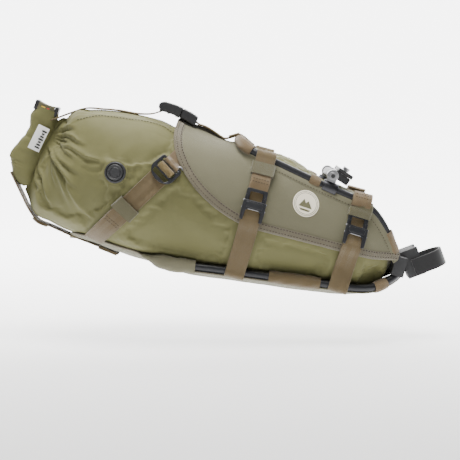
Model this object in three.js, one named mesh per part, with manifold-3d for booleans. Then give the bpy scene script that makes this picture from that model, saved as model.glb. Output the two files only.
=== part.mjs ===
// Saddle bag: a framed harness that hangs a roll-top dry bag behind a bicycle saddle.
//
// Part frame, in millimetres: +X forward, +Y to the rider's left, +Z up. The origin is the centre of the
// saddle-rail clamp, midway between the two rails. Most of the object is drawn in the pack's own frame,
// which has the same origin but falls forward by PACK_TILT: x runs along the bag, z stands square to it.
// Right-hand pieces lie on the -Y side, and each left-hand piece is the mirror image of its twin.

import * as THREE from 'three';
import { mergeVertices } from 'three/addons/utils/BufferGeometryUtils.js';
import Module from 'manifold-3d';

const wasm = await Module();
wasm.setup();

// ---------------------------------------------------------------------------------------------
// Driving dimensions, in millimetres and degrees

const PACK_TILT = 15;
const GAP = 0.4;                 // air left between pieces that touch

const TUBE_R = 5;                // frame tube, 10 mm outside
const TUBE_SIDES = 10;
const SLEEVE_R = 7;              // canvas sleeve sewn round the tube
const SLEEVE_BORE = 5.7;

// Dry bag sections along its length: [along, top, bottom, half width]
const BAG_SECTIONS = [
  [-378, -26, -134, 8],
  [-370, -13, -147, 34],
  [-342, -3, -158, 62],
  [-300, 4, -165, 75],
  [-214, 4, -172, 79],
  [-147, -2, -168, 75],
  [-68, 0, -160, 70],
  [-25, -13, -155, 65],
  [23, -20, -147, 61],
  [50, -32, -141, 56],
  [70, -50, -132, 43],
  [84, -70, -118, 25],
  [88, -84, -106, 8],
];
const BAG_POWER_TOP = 2.3;       // section exponent: 2 is an ellipse, more is squarer
const BAG_POWER_BOTTOM = 2;
const BAG_RING = 28;
const REAR_LEAN = 0.14;          // the rear of the bag leans with the roll
const REAR_LEAN_LENGTH = 78;

// Right-hand half of each frame tube, front to rear: [along, half gauge, height]
const UPPER_SIDE = [
  [98, 26, -88.5], [92, 31, -84], [83, 37, -74], [69, 43, -55], [55, 46, -41], [42, 48, -32],
  [25, 48, -26], [-23, 48, -18.5], [-92, 48, -6], [-122, 47, 0], [-135, 38, 5], [-140, 20, 8],
];
const UPPER_CROSS = [-140, 0, 8];
const LOWER_SIDE = [
  [107, 10, -94.5], [103, 20, -100], [96, 29, -109], [86, 37, -118], [73, 44, -126.5],
  [55, 49, -132], [30, 50, -136], [-21, 50, -142], [-72, 50, -148.5], [-130, 51, -156], [-190, 52, -164.5],
];
const LOWER_FRONT = [108.5, 0, -93];

// Canvas sleeves on each tube: [name, tube, from, to]
const SLEEVES = [
  ['top_rear', 'upper', -128, -118],
  ['top_middle', 'upper', -44, -29],
  ['front_leg', 'upper', 68, 86],
  ['bottom_middle', 'lower', -62, 5],
  ['bottom_rear', 'lower', -188, -150],
];

const PANEL_LIFT = 1.5;          // canvas lies just off the bag
const PANEL_THICK = 2.2;
const ROW_POINTS = 9;            // points across each row of canvas
const PANEL_COLUMNS = [-214, -202, -186, -168, -147, -121, -95, -68, -46, -25, -1, 23, 37, 50, 62, 74];
const PANEL_CORNER = -95;        // where the lower edge starts to sweep up to the rear
const PANEL_SWEEP = 128;
const PANEL_DROP = 92;
const PANEL_SWEEP_POWER = 1.7;
const COVER_ANGLE = 60;          // side panels climb the bag to here, the top cover spans between
const COVER_SEAM = 1.5;
const COVER_COLUMNS = [-214, -192, -170, -150];

// Sling under the bag: [along, half reach in degrees]
const SLING = [
  [-320, 12], [-308, 25], [-285, 34], [-225, 36], [-214, 34], [-200, 30],
  [-147, 30], [-68, 30], [-25, 30], [23, 29], [50, 27], [60, 22],
];

const WEBBING = 25;
const WEB_THICK = 2.2;
const WRAP_R = 8.6;              // inner radius of a strap's turn round a sloping tube
const LOW_WRAP_R = 7;
const STRAP_STATIONS = [['middle', -104], ['front', 27]];
const HOOK_HEIGHT = -57;         // centre of each side buckle
const HOOK_SIZE = 27;
const HOOK_THICK = 3;
const HOOK_LIFT = 4.1;
const BASE_WIDTH = 23;
const BASE_TOP = -2;
const BASE_BOTTOM = -26;
const BASE_THICK = 2.6;
const BASE_YOKE = 11;
const PRONG_WIDTH = 6;
const STRAP_LOW = -112;          // lower straps leave the flank here for the tube

const DIAGONAL_FOOT = [-279, -143.5];
const DIAGONAL_BUCKLE = [-221, -50];
const DIAGONAL_HOOK = [-204, -20];
const DIAGONAL_REACH = 0.83;     // share of the way from foot to buckle that the strap covers
const DEE_WIDTH = 34;
const DEE_LENGTH = 30;

// Compression straps on the centreline, each a path of [along, height]
const TOP_REAR_PATH = [
  [-394, -13.5], [-375, -10.5], [-360, -6], [-340, -1.5], [-300, 5], [-262, 7], [-246, 8], [-232, 9.6],
];
const TOP_REAR_THICK = 1.8;
const TOP_FRONT_PATH = [[-199.5, 15], [-185, 11.5], [-166, 9.5], [-152, 11.5], [-145, 13.4], [-138, 13.6]];
const BOTTOM_PATH = [
  [-215, -179], [-250, -176.5], [-298, -171.5], [-334, -166.5], [-362, -161], [-385, -152.5], [-398, -141],
  [-408, -129.5],
];

const BUCKLE_SPLIT = [-222, 17];  // parting line of the top buckle: [along, height]
const BUCKLE_WIDTH = 32;
const BUCKLE_HEIGHT = 9;

const ROLL_FOOT = [-403.5, -124];
const ROLL_LENGTH = 105;
const ROLL_TILT = 7.9;
const ROLL_DEPTH = 34;
const ROLL_WIDTH = 28;

const VALVE_PLACE = [-280, -68];
const VALVE_LIFT = 1.6;
const VALVE_R = 13;
const VALVE_CAP_R = 9.5;

const AXLE = [-16.7, -3.4];      // saddle clamp's pivot, in the pack frame: [along, height]
const AXLE_R = 3;
const LUG_Y = [44, 52];
const RING_R = 8.5;              // bracket's ring round the tube
const BOSS_R = 7.5;
const JAW_TILT = 34;
const JAW_AXLE = [-14.7, -8.7];  // the same pivot in the jaws' frame
const JAW_SPLIT = -0.5;
const JAW_WIDTH = 62;
const RAIL_R = 3.6;              // groove for a 7 mm saddle rail
const RAIL_SPACING = 44;

const POST_CENTRE = [111.5, -110];  // on the seatpost's axis, in the part frame
const POST_TILT = 20.6;
const POST_R = 14.1;             // groove for a 27.2 mm seatpost
const BLOCK_BACK = -33;
const BLOCK_LIP = -10;
const BLOCK_HALF = 17;
const BLOCK_Z = [-14, 22];
const BAND_INNER = 17.4;
const BAND_THICK = 3;
const BAND_Z = [-13, 9];
const BAND_TAIL = -23;           // free end, on the right
const BAND_HINGE = -12;          // sewn end on the left, which the band opens about

// ---------------------------------------------------------------------------------------------
// Materials

const finish = (color, roughness, metalness = 0) => (
  new THREE.MeshStandardMaterial({ color, roughness, metalness })
);

const olive = finish('#6f6d4c', 0.55);
const canvas = finish('#5c5a47', 0.9);
const paleCanvas = finish('#8b8468', 0.9);
const webbing = finish('#9a8264', 0.85);
const blackPlastic = finish('#1c1c1d', 0.5);
const rubber = finish('#2a2b2c', 0.9);
const anodised = finish('#3a3b3d', 0.4, 0.8);
const gunmetal = finish('#55565a', 0.35, 0.9);
const silver = finish('#b9babc', 0.3, 0.95);
const blackFabric = finish('#222222', 0.95);

// ---------------------------------------------------------------------------------------------
// Solid building

const radians = THREE.MathUtils.degToRad;
const vec = (x, y, z) => new THREE.Vector3(x, y, z);

function welded(geometry) {
  const bare = geometry.clone();
  bare.deleteAttribute('normal');
  bare.deleteAttribute('uv');
  return mergeVertices(bare, 1e-4);
}

function flipped(geometry) {
  const index = geometry.getIndex();
  for (let i = 0; i < index.count; i += 3) {
    const first = index.getX(i);
    index.setX(i, index.getX(i + 1));
    index.setX(i + 1, first);
  }
  return geometry;
}

function signedVolume(geometry) {
  const position = geometry.getAttribute('position');
  const index = geometry.getIndex();
  const corner = (i) => new THREE.Vector3().fromBufferAttribute(position, index.getX(i));
  let total = 0;
  for (let i = 0; i < index.count; i += 3) {
    total += corner(i).dot(corner(i + 1).cross(corner(i + 2))) / 6;
  }
  return total;
}

function solid(geometry) {
  const closed = welded(geometry);
  return signedVolume(closed) < 0 ? flipped(closed) : closed;
}

function toManifold(geometry) {
  const closed = solid(geometry);
  const vertProperties = new Float32Array(closed.getAttribute('position').array);
  const triVerts = new Uint32Array(closed.getIndex().array);
  return new wasm.Manifold(new wasm.Mesh({ numProp: 3, vertProperties, triVerts }));
}

function fromManifold(manifold) {
  const mesh = manifold.getMesh();
  const geometry = new THREE.BufferGeometry();
  geometry.setAttribute('position', new THREE.BufferAttribute(mesh.vertProperties, 3));
  geometry.setIndex(new THREE.BufferAttribute(mesh.triVerts, 1));
  return geometry;
}

function cut(body, tools) {
  return fromManifold(tools.reduce((left, tool) => left.subtract(toManifold(tool)), toManifold(body)));
}

function join(pieces) {
  const [first, ...others] = pieces.map(toManifold);
  return fromManifold(others.reduce((sum, other) => sum.add(other), first));
}

function mirrored(geometry) {
  return solid(geometry.clone().scale(1, -1, 1));
}

// Skins a row of point rings and zips each end shut, pairing ring point i with point n - 1 - i.
function loft(rings) {
  const count = rings[0].length;
  const last = (rings.length - 1) * count;
  const index = [];
  for (let ring = 0; ring + 1 < rings.length; ring += 1) {
    for (let i = 0; i < count; i += 1) {
      const a = ring * count + i;
      const b = ring * count + (i + 1) % count;
      index.push(a, b, b + count, a, b + count, a + count);
    }
  }
  for (let i = 0; i + 1 < count / 2; i += 1) {
    const j = count - 1 - i;
    index.push(i, j, j - 1, i, j - 1, i + 1);
    index.push(last + i, last + i + 1, last + j - 1, last + i, last + j - 1, last + j);
  }
  const geometry = new THREE.BufferGeometry();
  const flat = rings.flat().flatMap((point) => point.toArray());
  geometry.setAttribute('position', new THREE.Float32BufferAttribute(flat, 3));
  geometry.setIndex(index);
  return solid(geometry);
}

// A sheet over rows of surface points, each {at, out}, grown outward by its thickness.
function sheet(rows, thickness) {
  const grown = ({ at, out }) => at.clone().addScaledVector(out, thickness);
  return loft(rows.map((row) => [...row.map(({ at }) => at), ...row.map(grown).reverse()]));
}

// A strap along surface points, each {at, out}, lying flat with its width square to its path.
function strapAlong(points, width, thickness) {
  const rows = points.map(({ at, out }, i) => {
    const before = points[Math.max(i - 1, 0)].at;
    const after = points[Math.min(i + 1, points.length - 1)].at;
    const side = after.clone().sub(before).cross(out).normalize().multiplyScalar(width / 2);
    return [{ at: at.clone().sub(side), out }, { at: at.clone().add(side), out }];
  });
  return sheet(rows, thickness);
}

// Gives each point of a path its outward normal, square to the path and to the width direction there.
function withNormals(points, across) {
  return points.map((at, i) => {
    const before = points[Math.max(i - 1, 0)];
    const after = points[Math.min(i + 1, points.length - 1)];
    const width = Array.isArray(across) ? across[i] : across;
    return { at, out: width.clone().cross(after.clone().sub(before)).normalize() };
  });
}

function circle(radius, sides) {
  const corner = (i) => {
    const angle = (i / sides) * Math.PI * 2;
    return new THREE.Vector2(radius * Math.cos(angle), radius * Math.sin(angle));
  };
  return new THREE.Shape(Array.from({ length: sides }, (_, i) => corner(i)));
}

function rectangle(x0, x1, y0, y1) {
  const corners = [[x0, y0], [x1, y0], [x1, y1], [x0, y1]];
  return new THREE.Shape(corners.map(([x, y]) => new THREE.Vector2(x, y)));
}

function extrude(shape, from, to) {
  const options = { depth: to - from, bevelEnabled: false, curveSegments: 5 };
  return new THREE.ExtrudeGeometry(shape, options).translate(0, 0, from);
}

// Extrudes a profile drawn in the x-z plane from one y to another.
function extrudeAcross(shape, from, to) {
  return extrude(shape, -to, -from).rotateX(Math.PI / 2);
}

function block(x, y, z) {
  return extrude(rectangle(x[0], x[1], y[0], y[1]), z[0], z[1]);
}

function rodAcross(x, z, radius, from, to, sides = 16) {
  return extrudeAcross(circle(radius, sides), from, to).translate(x, 0, z);
}

// ---------------------------------------------------------------------------------------------
// The bag's surface, which the canvas and the straps follow

function bagSection(along) {
  const last = BAG_SECTIONS.length - 2;
  const found = BAG_SECTIONS.findIndex(([next], i) => i > 0 && along <= next);
  const i = found < 0 ? last : found - 1;
  const [from, to] = [BAG_SECTIONS[i], BAG_SECTIONS[i + 1]];
  const mix = (along - from[0]) / (to[0] - from[0]);
  const [top, bottom, half] = [1, 2, 3].map((k) => THREE.MathUtils.lerp(from[k], to[k], mix));
  return { half, middle: (top + bottom) / 2, rise: (top - bottom) / 2 };
}

// Angle 0 is the right flank, 90 degrees the top, -90 the bottom.
function bagSkin(along, angle) {
  const { half, middle, rise } = bagSection(along);
  const power = 2 / (Math.sin(angle) >= 0 ? BAG_POWER_TOP : BAG_POWER_BOTTOM);
  const bend = (value) => Math.sign(value) * Math.abs(value) ** power;
  const z = middle + rise * bend(Math.sin(angle));
  const rear = THREE.MathUtils.clamp((BAG_SECTIONS[3][0] - along) / REAR_LEAN_LENGTH, 0, 1);
  return vec(along + REAR_LEAN * rear * (z - middle), -half * bend(Math.cos(angle)), z);
}

function onBag(along, angle, lift = 0) {
  const lengthwise = bagSkin(along + 1, angle).sub(bagSkin(along - 1, angle));
  const around = bagSkin(along, angle + 0.01).sub(bagSkin(along, angle - 0.01));
  const out = lengthwise.cross(around).normalize();
  return { at: bagSkin(along, angle).addScaledVector(out, lift), out };
}

function angleAtHeight(along, height) {
  const { middle, rise } = bagSection(along);
  const share = THREE.MathUtils.clamp((height - middle) / rise, -1, 1);
  const power = share >= 0 ? BAG_POWER_TOP : BAG_POWER_BOTTOM;
  return Math.asin(Math.sign(share) * Math.abs(share) ** (power / 2));
}

const atHeight = (along, height, lift = 0) => onBag(along, angleAtHeight(along, height), lift);

// A flat frame resting on the flank: X along the heading, Z outward.
function flankFrame([along, height], lift, heading = vec(1, 0, 0)) {
  const { at, out } = atHeight(along, height, lift);
  const x = heading.clone().addScaledVector(out, -heading.dot(out)).normalize();
  const y = out.clone().cross(x);
  return new THREE.Matrix4().makeBasis(x, y, out).setPosition(at);
}

// ---------------------------------------------------------------------------------------------
// Frame tubes and their sleeves

const mirroredPath = (side, centre) => [
  ...side.map(([x, y, z]) => vec(x, -y, z)),
  vec(...centre),
  ...side.map(([x, y, z]) => vec(x, y, z)).reverse(),
];

const smoothPath = (points) => new THREE.CatmullRomCurve3(points, false, 'centripetal');

const PATHS = {
  upper: smoothPath(mirroredPath(UPPER_SIDE, UPPER_CROSS)),
  lower: smoothPath(mirroredPath([...LOWER_SIDE].reverse(), LOWER_FRONT)),
};

const tubeAlong = (path, shape, steps) => new THREE.ExtrudeGeometry(shape, { steps, extrudePath: path });

const frameTube = (path, radius = TUBE_R) => tubeAlong(path, circle(radius, TUBE_SIDES), 64);

// Height of a tube's right-hand side at a place along the pack
function tubeCentre(side, along) {
  const i = side.findIndex(([x], k) => k > 0 && along >= x);
  const mix = (along - side[i - 1][0]) / (side[i][0] - side[i - 1][0]);
  const [y, z] = [1, 2].map((k) => THREE.MathUtils.lerp(side[i - 1][k], side[i][k], mix));
  return { y: -y, z };
}

function sleeve(path, from, to) {
  const points = path.getSpacedPoints(300).filter((p) => p.y < -1 && p.x >= from && p.x <= to);
  const spaced = [0, 1, 2, 3, 4].map((i) => points[Math.round((i / 4) * (points.length - 1))]);
  const wall = circle(SLEEVE_R, TUBE_SIDES);
  wall.holes.push(circle(SLEEVE_BORE, TUBE_SIDES));
  return tubeAlong(smoothPath(spaced), wall, 4);
}

// Casting that ties the foot of a leg to the lower tube
function legJoint() {
  const body = block([90, 106], [-36, -18.5], [-107, -82]);
  return cut(body, [frameTube(PATHS.upper, TUBE_R + GAP), frameTube(PATHS.lower, TUBE_R + GAP)]);
}

// ---------------------------------------------------------------------------------------------
// Canvas

// Evenly spaced points round the bag between two angles
function surfaceRow(along, from, to, lift) {
  const angle = (i) => THREE.MathUtils.lerp(from, to, i / (ROW_POINTS - 1));
  return Array.from({ length: ROW_POINTS }, (_, i) => onBag(along, angle(i), lift));
}

function panelEdge(along) {
  const share = Math.max(PANEL_CORNER - along, 0) / PANEL_SWEEP;
  return -PANEL_DROP * (1 - share ** PANEL_SWEEP_POWER) ** (1 / PANEL_SWEEP_POWER);
}

// The panel stops short of the sleeves, by more where the tube runs steeply.
function panelTop(along) {
  const cover = radians(COVER_ANGLE);
  if (along < UPPER_SIDE[9][0]) {
    return cover;
  }
  const { z } = tubeCentre(UPPER_SIDE, along);
  const slope = tubeCentre(UPPER_SIDE, along + 1).z - z;
  const height = z - (SLEEVE_R + 5) * Math.hypot(1, slope);
  return Math.min(angleAtHeight(along, height), cover);
}

function sidePanel() {
  return sheet(PANEL_COLUMNS.map((along) => {
    const low = angleAtHeight(along, panelEdge(along));
    return surfaceRow(along, low, panelTop(along), PANEL_LIFT);
  }), PANEL_THICK);
}

function topCover() {
  const low = radians(COVER_ANGLE + COVER_SEAM);
  const rows = COVER_COLUMNS.map((along) => surfaceRow(along, low, Math.PI - low, PANEL_LIFT));
  return sheet(rows, PANEL_THICK);
}

function bottomPanel() {
  return sheet(SLING.map(([along, reach]) => (
    surfaceRow(along, radians(-90 - reach), radians(-90 + reach), PANEL_LIFT)
  )), PANEL_THICK);
}

// ---------------------------------------------------------------------------------------------
// Side straps: an upper strap with a hook frame, a lower strap with a pronged base

const roundTube = (centre, radius, degrees) => vec(
  0,
  centre.y - radius * Math.cos(radians(degrees)),
  centre.z + radius * Math.sin(radians(degrees)),
);

// A strap's width direction: straight on the tubes, and following the taper of the flank
const REARWARD = vec(-1, 0, 0);
const taperedRearward = (frame) => new THREE.Vector3().setFromMatrixColumn(frame, 0).negate();

function strapUpper(along) {
  const tube = tubeCentre(UPPER_SIDE, along);
  const frame = flankFrame([along, HOOK_HEIGHT], HOOK_LIFT);
  const wrap = [100, 70, 40, 10].map((degrees) => roundTube(tube, WRAP_R, degrees).setX(along));
  const end = vec(0, HOOK_SIZE / 2 + 3, 0.4).applyMatrix4(frame);
  const from = wrap[wrap.length - 1];
  const between = [0.35, 0.7].map((share) => {
    const straight = from.clone().lerp(end, share);
    const skin = atHeight(along, straight.z, HOOK_LIFT + 2).at;
    return straight.setY(Math.min(straight.y, skin.y));
  });
  const across = [...wrap.map(() => REARWARD), ...[0, 1, 2].map(() => taperedRearward(frame))];
  return strapAlong(withNormals([...wrap, ...between, end], across), WEBBING, WEB_THICK);
}

function strapLower(along) {
  const tube = tubeCentre(LOWER_SIDE, along);
  const frame = flankFrame([along, HOOK_HEIGHT], HOOK_LIFT);
  const start = vec(0, BASE_BOTTOM - 2, HOOK_THICK + GAP).applyMatrix4(frame);
  const halfway = atHeight(along, (start.z + STRAP_LOW) / 2, 6.5).at;
  const last = atHeight(along, STRAP_LOW, 4.5).at;
  const wrap = [-5, -30, -55].map((degrees) => roundTube(tube, LOW_WRAP_R, degrees).setX(along));
  const across = [...[0, 1, 2].map(() => taperedRearward(frame)), ...wrap.map(() => REARWARD)];
  return strapAlong(withNormals([start, halfway, last, ...wrap], across), WEBBING, WEB_THICK);
}

function hookFrame(along) {
  const half = HOOK_SIZE / 2;
  const shape = rectangle(-half, half, -half, half);
  shape.holes.push(rectangle(-8, 8, 0, 9.5));
  return extrude(shape, 0, HOOK_THICK).applyMatrix4(flankFrame([along, HOOK_HEIGHT], HOOK_LIFT));
}

function buckleBase(along) {
  const half = BASE_WIDTH / 2;
  const yoke = BASE_BOTTOM + BASE_YOKE;
  const gap = half - PRONG_WIDTH;
  const corners = [
    [-half, BASE_BOTTOM], [half, BASE_BOTTOM], [half, BASE_TOP], [gap, BASE_TOP],
    [gap, yoke], [-gap, yoke], [-gap, BASE_TOP], [-half, BASE_TOP],
  ];
  const shape = new THREE.Shape(corners.map(([x, y]) => new THREE.Vector2(x, y)));
  const inner = HOOK_THICK + GAP;
  const frame = flankFrame([along, HOOK_HEIGHT], HOOK_LIFT);
  return extrude(shape, inner, inner + BASE_THICK).applyMatrix4(frame);
}

// ---------------------------------------------------------------------------------------------
// Diagonal strap from the sling up to the rear edge of the side panel

const diagonalHeading = vec(
  DIAGONAL_BUCKLE[0] - DIAGONAL_FOOT[0],
  0,
  DIAGONAL_BUCKLE[1] - DIAGONAL_FOOT[1],
).normalize();

function diagonalStrap() {
  const steps = 8;
  const points = Array.from({ length: steps + 1 }, (_, i) => {
    const share = (DIAGONAL_REACH * i) / steps;
    const along = THREE.MathUtils.lerp(DIAGONAL_FOOT[0], DIAGONAL_BUCKLE[0], share);
    const height = THREE.MathUtils.lerp(DIAGONAL_FOOT[1], DIAGONAL_BUCKLE[1], share);
    return atHeight(along, height, THREE.MathUtils.lerp(4.4, 1.6, i / steps));
  });
  return strapAlong(points, WEBBING, WEB_THICK);
}

// A dee with a middle bar; the strap comes in at its straight side.
function diagonalBuckle() {
  const half = DEE_WIDTH / 2;
  const shape = new THREE.Shape();
  shape.moveTo(-DEE_LENGTH / 2, -half);
  shape.lineTo(3, -half);
  shape.absarc(3, 0, half, -Math.PI / 2, Math.PI / 2, false);
  shape.lineTo(-DEE_LENGTH / 2, half);
  shape.holes.push(rectangle(-DEE_LENGTH / 2 + 4, -3, -half + 4, half - 4));
  shape.holes.push(rectangle(1, 9, -half + 6.5, half - 6.5));
  return extrude(shape, 0, 3.4).applyMatrix4(flankFrame(DIAGONAL_BUCKLE, 2, diagonalHeading));
}

function diagonalHook() {
  const shape = rectangle(-7, 7, -9, 9);
  shape.holes.push(rectangle(-3, 3, -5, 5));
  return extrude(shape, 0, 2.4).applyMatrix4(flankFrame(DIAGONAL_HOOK, 4.2, diagonalHeading));
}

// ---------------------------------------------------------------------------------------------
// Top and bottom compression straps, and the side-release buckle

const inPlane = (points) => points.map(([x, z]) => vec(x, 0, z));

const strapInPlane = (path, thickness = WEB_THICK) => (
  strapAlong(withNormals(inPlane(path), vec(0, -1, 0)), WEBBING, thickness)
);

const topStrapRear = () => strapInPlane(TOP_REAR_PATH, TOP_REAR_THICK);
const topStrapFront = () => strapInPlane(TOP_FRONT_PATH);
const bottomStrap = () => strapInPlane(BOTTOM_PATH);

function buckleFemale() {
  const half = BUCKLE_WIDTH / 2;
  const body = block([0, 22], [-half, half], [-BUCKLE_HEIGHT / 2, BUCKLE_HEIGHT / 2]);
  const socket = block([-1, 17], [-half + 3, half - 3], [-2.5, 2.5]);
  return cut(body, [socket]).translate(BUCKLE_SPLIT[0], 0, BUCKLE_SPLIT[1]);
}

function buckleMale() {
  const half = BUCKLE_WIDTH / 2;
  const body = block([-27, -GAP], [-half, half], [-BUCKLE_HEIGHT / 2, BUCKLE_HEIGHT / 2]);
  const prongs = [-1, 1].map((side) => block([-2, 15], side > 0 ? [7.5, 12] : [-12, -7.5], [-1.9, 1.9]));
  const guide = block([-2, 12], [-2, 2], [-1.9, 1.9]);
  const windows = [[-24, -17], [-13.5, -6.5]].map((x) => block(x, [-half + 3.2, half - 3.2], [-9, 9]));
  return cut(join([body, ...prongs, guide]), windows).translate(BUCKLE_SPLIT[0], 0, BUCKLE_SPLIT[1]);
}

// ---------------------------------------------------------------------------------------------
// Dry bag, its rolled closure and its air valve

function dryBag() {
  const angle = (i) => ((i + 0.5) / BAG_RING) * Math.PI * 2;
  const ring = ([along]) => Array.from({ length: BAG_RING }, (_, i) => bagSkin(along, angle(i)));
  return loft(BAG_SECTIONS.map(ring));
}

function roundedRectangle(width, height, radius) {
  const [x, y] = [width / 2 - radius, height / 2 - radius];
  const shape = new THREE.Shape();
  shape.absarc(x, y, radius, 0, Math.PI / 2, false);
  shape.absarc(-x, y, radius, Math.PI / 2, Math.PI, false);
  shape.absarc(-x, -y, radius, Math.PI, Math.PI * 1.5, false);
  shape.absarc(x, -y, radius, Math.PI * 1.5, Math.PI * 2, false);
  return shape;
}

const roll = () => extrude(roundedRectangle(ROLL_DEPTH, ROLL_WIDTH, 12), 0, ROLL_LENGTH);
const rollClip = (from, to) => extrude(roundedRectangle(ROLL_DEPTH - 4, ROLL_WIDTH - 5, 6), from, to);

function valveBase() {
  const corners = [[0, 0], [VALVE_R, 0], [VALVE_R, 2], [VALVE_R - 1, 3], [0, 3]];
  const disc = new THREE.LatheGeometry(corners.map(([x, y]) => new THREE.Vector2(x, y)), 24);
  return disc.rotateX(Math.PI / 2).applyMatrix4(flankFrame(VALVE_PLACE, VALVE_LIFT));
}

// Turning cap with four slots across its rim
function valveCap() {
  const disc = extrude(circle(VALVE_CAP_R, 24), 3 + GAP, 6);
  const slot = (degrees) => (
    block([VALVE_CAP_R - 3, VALVE_CAP_R + 1], [-1, 1], [4.6, 7]).rotateZ(radians(degrees))
  );
  return cut(disc, [45, 135, 225, 315].map(slot)).applyMatrix4(flankFrame(VALVE_PLACE, VALVE_LIFT));
}

// ---------------------------------------------------------------------------------------------
// Saddle clamp: brackets on the top tubes, an axle and two jaws

function railBracket() {
  const { y, z } = tubeCentre(UPPER_SIDE, AXLE[0]);
  const [[x0, , z0], [x1, , z1]] = [UPPER_SIDE[7], UPPER_SIDE[6]];
  const slope = Math.atan2(z1 - z0, x1 - x0);
  const alongTube = (geometry) => geometry.rotateY(Math.PI / 2 - slope).translate(AXLE[0], y, z);
  const ring = alongTube(extrude(circle(RING_R, 16), -9.5, 9.5));
  const bore = alongTube(extrude(circle(TUBE_R + 0.7, 16), -12, 12));
  const web = block([AXLE[0] - 6, AXLE[0] + 6], [-LUG_Y[1], -LUG_Y[0]], [z, AXLE[1]]);
  const boss = rodAcross(AXLE[0], AXLE[1], BOSS_R, -LUG_Y[1], -LUG_Y[0]);
  const hole = rodAcross(AXLE[0], AXLE[1], AXLE_R + GAP, -60, -40);
  return cut(join([ring, web, boss]), [bore, hole]);
}

function pivotBolt() {
  const face = LUG_Y[1];
  const head = rodAcross(AXLE[0], AXLE[1], 5, -face - 5, -face - GAP);
  const socket = rodAcross(AXLE[0], AXLE[1], 2.5, -face - 6, -face - 2.5, 6);
  const shank = rodAcross(AXLE[0], AXLE[1], AXLE_R, -face - 1, face + 6);
  return cut(join([head, shank]), [socket]);
}

function pivotNut() {
  const hex = extrudeAcross(circle(5.6, 6), LUG_Y[1] + GAP, LUG_Y[1] + 5).translate(AXLE[0], 0, AXLE[1]);
  return cut(hex, [rodAcross(AXLE[0], AXLE[1], AXLE_R + GAP, 40, 70)]);
}

const railGrooves = () => [-1, 1].map((side) => {
  const groove = extrude(circle(RAIL_R, 16), -30, 30).rotateY(Math.PI / 2);
  return groove.translate(0, (side * RAIL_SPACING) / 2, JAW_SPLIT);
});

const boltBore = () => extrude(circle(2.9, 12), -30, 30);

function lowerJaw() {
  const half = JAW_WIDTH / 2;
  const bed = block([-13, 9], [-half, half], [-10, JAW_SPLIT - 0.2]);
  const hub = rodAcross(JAW_AXLE[0], JAW_AXLE[1], 6.3, -40, 40);
  const bore = rodAcross(JAW_AXLE[0], JAW_AXLE[1], AXLE_R + GAP, -50, 50);
  return cut(join([bed, hub]), [bore, boltBore(), ...railGrooves()]);
}

function upperJaw() {
  const half = JAW_WIDTH / 2;
  const cap = block([-11, 10], [-half, half], [JAW_SPLIT + 0.2, 4.6]);
  return cut(cap, [boltBore(), ...railGrooves()]);
}

function jawBolt() {
  const head = extrude(circle(4.6, 16), 5, 9.4);
  const socket = extrude(circle(2.3, 6), 7, 10);
  const shank = extrude(circle(2.5, 12), -9.6, 5.5);
  return cut(join([head, shank]), [socket]);
}

// ---------------------------------------------------------------------------------------------
// Seatpost rest: a grooved rubber block with a hook-and-loop band

function postBlock(packToPost) {
  const body = block([BLOCK_BACK, BLOCK_LIP], [-BLOCK_HALF, BLOCK_HALF], BLOCK_Z);
  const post = extrude(circle(POST_R, 24), -40, 40);
  return cut(body, [post, frameTube(PATHS.lower, TUBE_R + GAP).applyMatrix4(packToPost)]);
}

function postStrap() {
  const [low, high] = BAND_Z;
  const bend = Array.from({ length: 13 }, (_, i) => Math.PI / 2 - (i / 12) * Math.PI);
  const round = bend.map((angle) => vec(BAND_INNER * Math.cos(angle), BAND_INNER * Math.sin(angle), low));
  const path = [vec(BAND_HINGE, BAND_INNER, low), ...round, vec(BAND_TAIL, -BAND_INNER, low)];
  const row = ({ at, out }) => [{ at, out }, { at: at.clone().setZ(high), out }];
  return sheet(withNormals(path, vec(0, 0, 1)).map(row), BAND_THICK);
}

// ---------------------------------------------------------------------------------------------
// Assembly

const saddleBag = new THREE.Group();
const pack = new THREE.Group();
pack.rotation.y = radians(PACK_TILT);
const jaws = new THREE.Group();
jaws.rotation.y = radians(JAW_TILT);
const post = new THREE.Group();
post.position.set(POST_CENTRE[0], 0, POST_CENTRE[1]);
post.rotation.y = radians(-POST_TILT);
const closure = new THREE.Group();
closure.position.set(ROLL_FOOT[0], 0, ROLL_FOOT[1]);
closure.rotation.y = radians(ROLL_TILT);
pack.add(closure);
saddleBag.add(pack, jaws, post);
saddleBag.updateMatrixWorld(true);

function place(group, name, geometry, material) {
  const mesh = new THREE.Mesh(solid(geometry), material);
  mesh.name = name;
  group.add(mesh);
}

// Adds a right-hand piece and its left-hand mirror image.
function placePair(name, geometry, material) {
  place(pack, `right_${name}`, geometry, material);
  place(pack, `left_${name}`, mirrored(geometry), material);
}

function addFrame() {
  place(pack, 'upper_frame_tube', frameTube(PATHS.upper), anodised);
  place(pack, 'lower_frame_tube', frameTube(PATHS.lower), anodised);
  placePair('leg_joint', legJoint(), rubber);
}

function addSaddleClamp() {
  placePair('rail_bracket', railBracket(), silver);
  place(pack, 'pivot_bolt', pivotBolt(), silver);
  place(pack, 'pivot_nut', pivotNut(), silver);
  place(jaws, 'lower_jaw', lowerJaw(), blackPlastic);
  place(jaws, 'upper_jaw', upperJaw(), blackPlastic);
  place(jaws, 'jaw_bolt', jawBolt(), silver);
}

function addPostRest() {
  const packToPost = post.matrixWorld.clone().invert().multiply(pack.matrixWorld);
  place(post, 'post_block', postBlock(packToPost), rubber);
  place(post, 'post_strap', postStrap(), blackFabric);
}

function addCanvas() {
  place(pack, 'top_cover', topCover(), canvas);
  placePair('side_panel', sidePanel(), canvas);
  place(pack, 'bottom_panel', bottomPanel(), paleCanvas);
  for (const [name, tube, from, to] of SLEEVES) {
    placePair(`${name}_sleeve`, sleeve(PATHS[tube], from, to), paleCanvas);
  }
}

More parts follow.
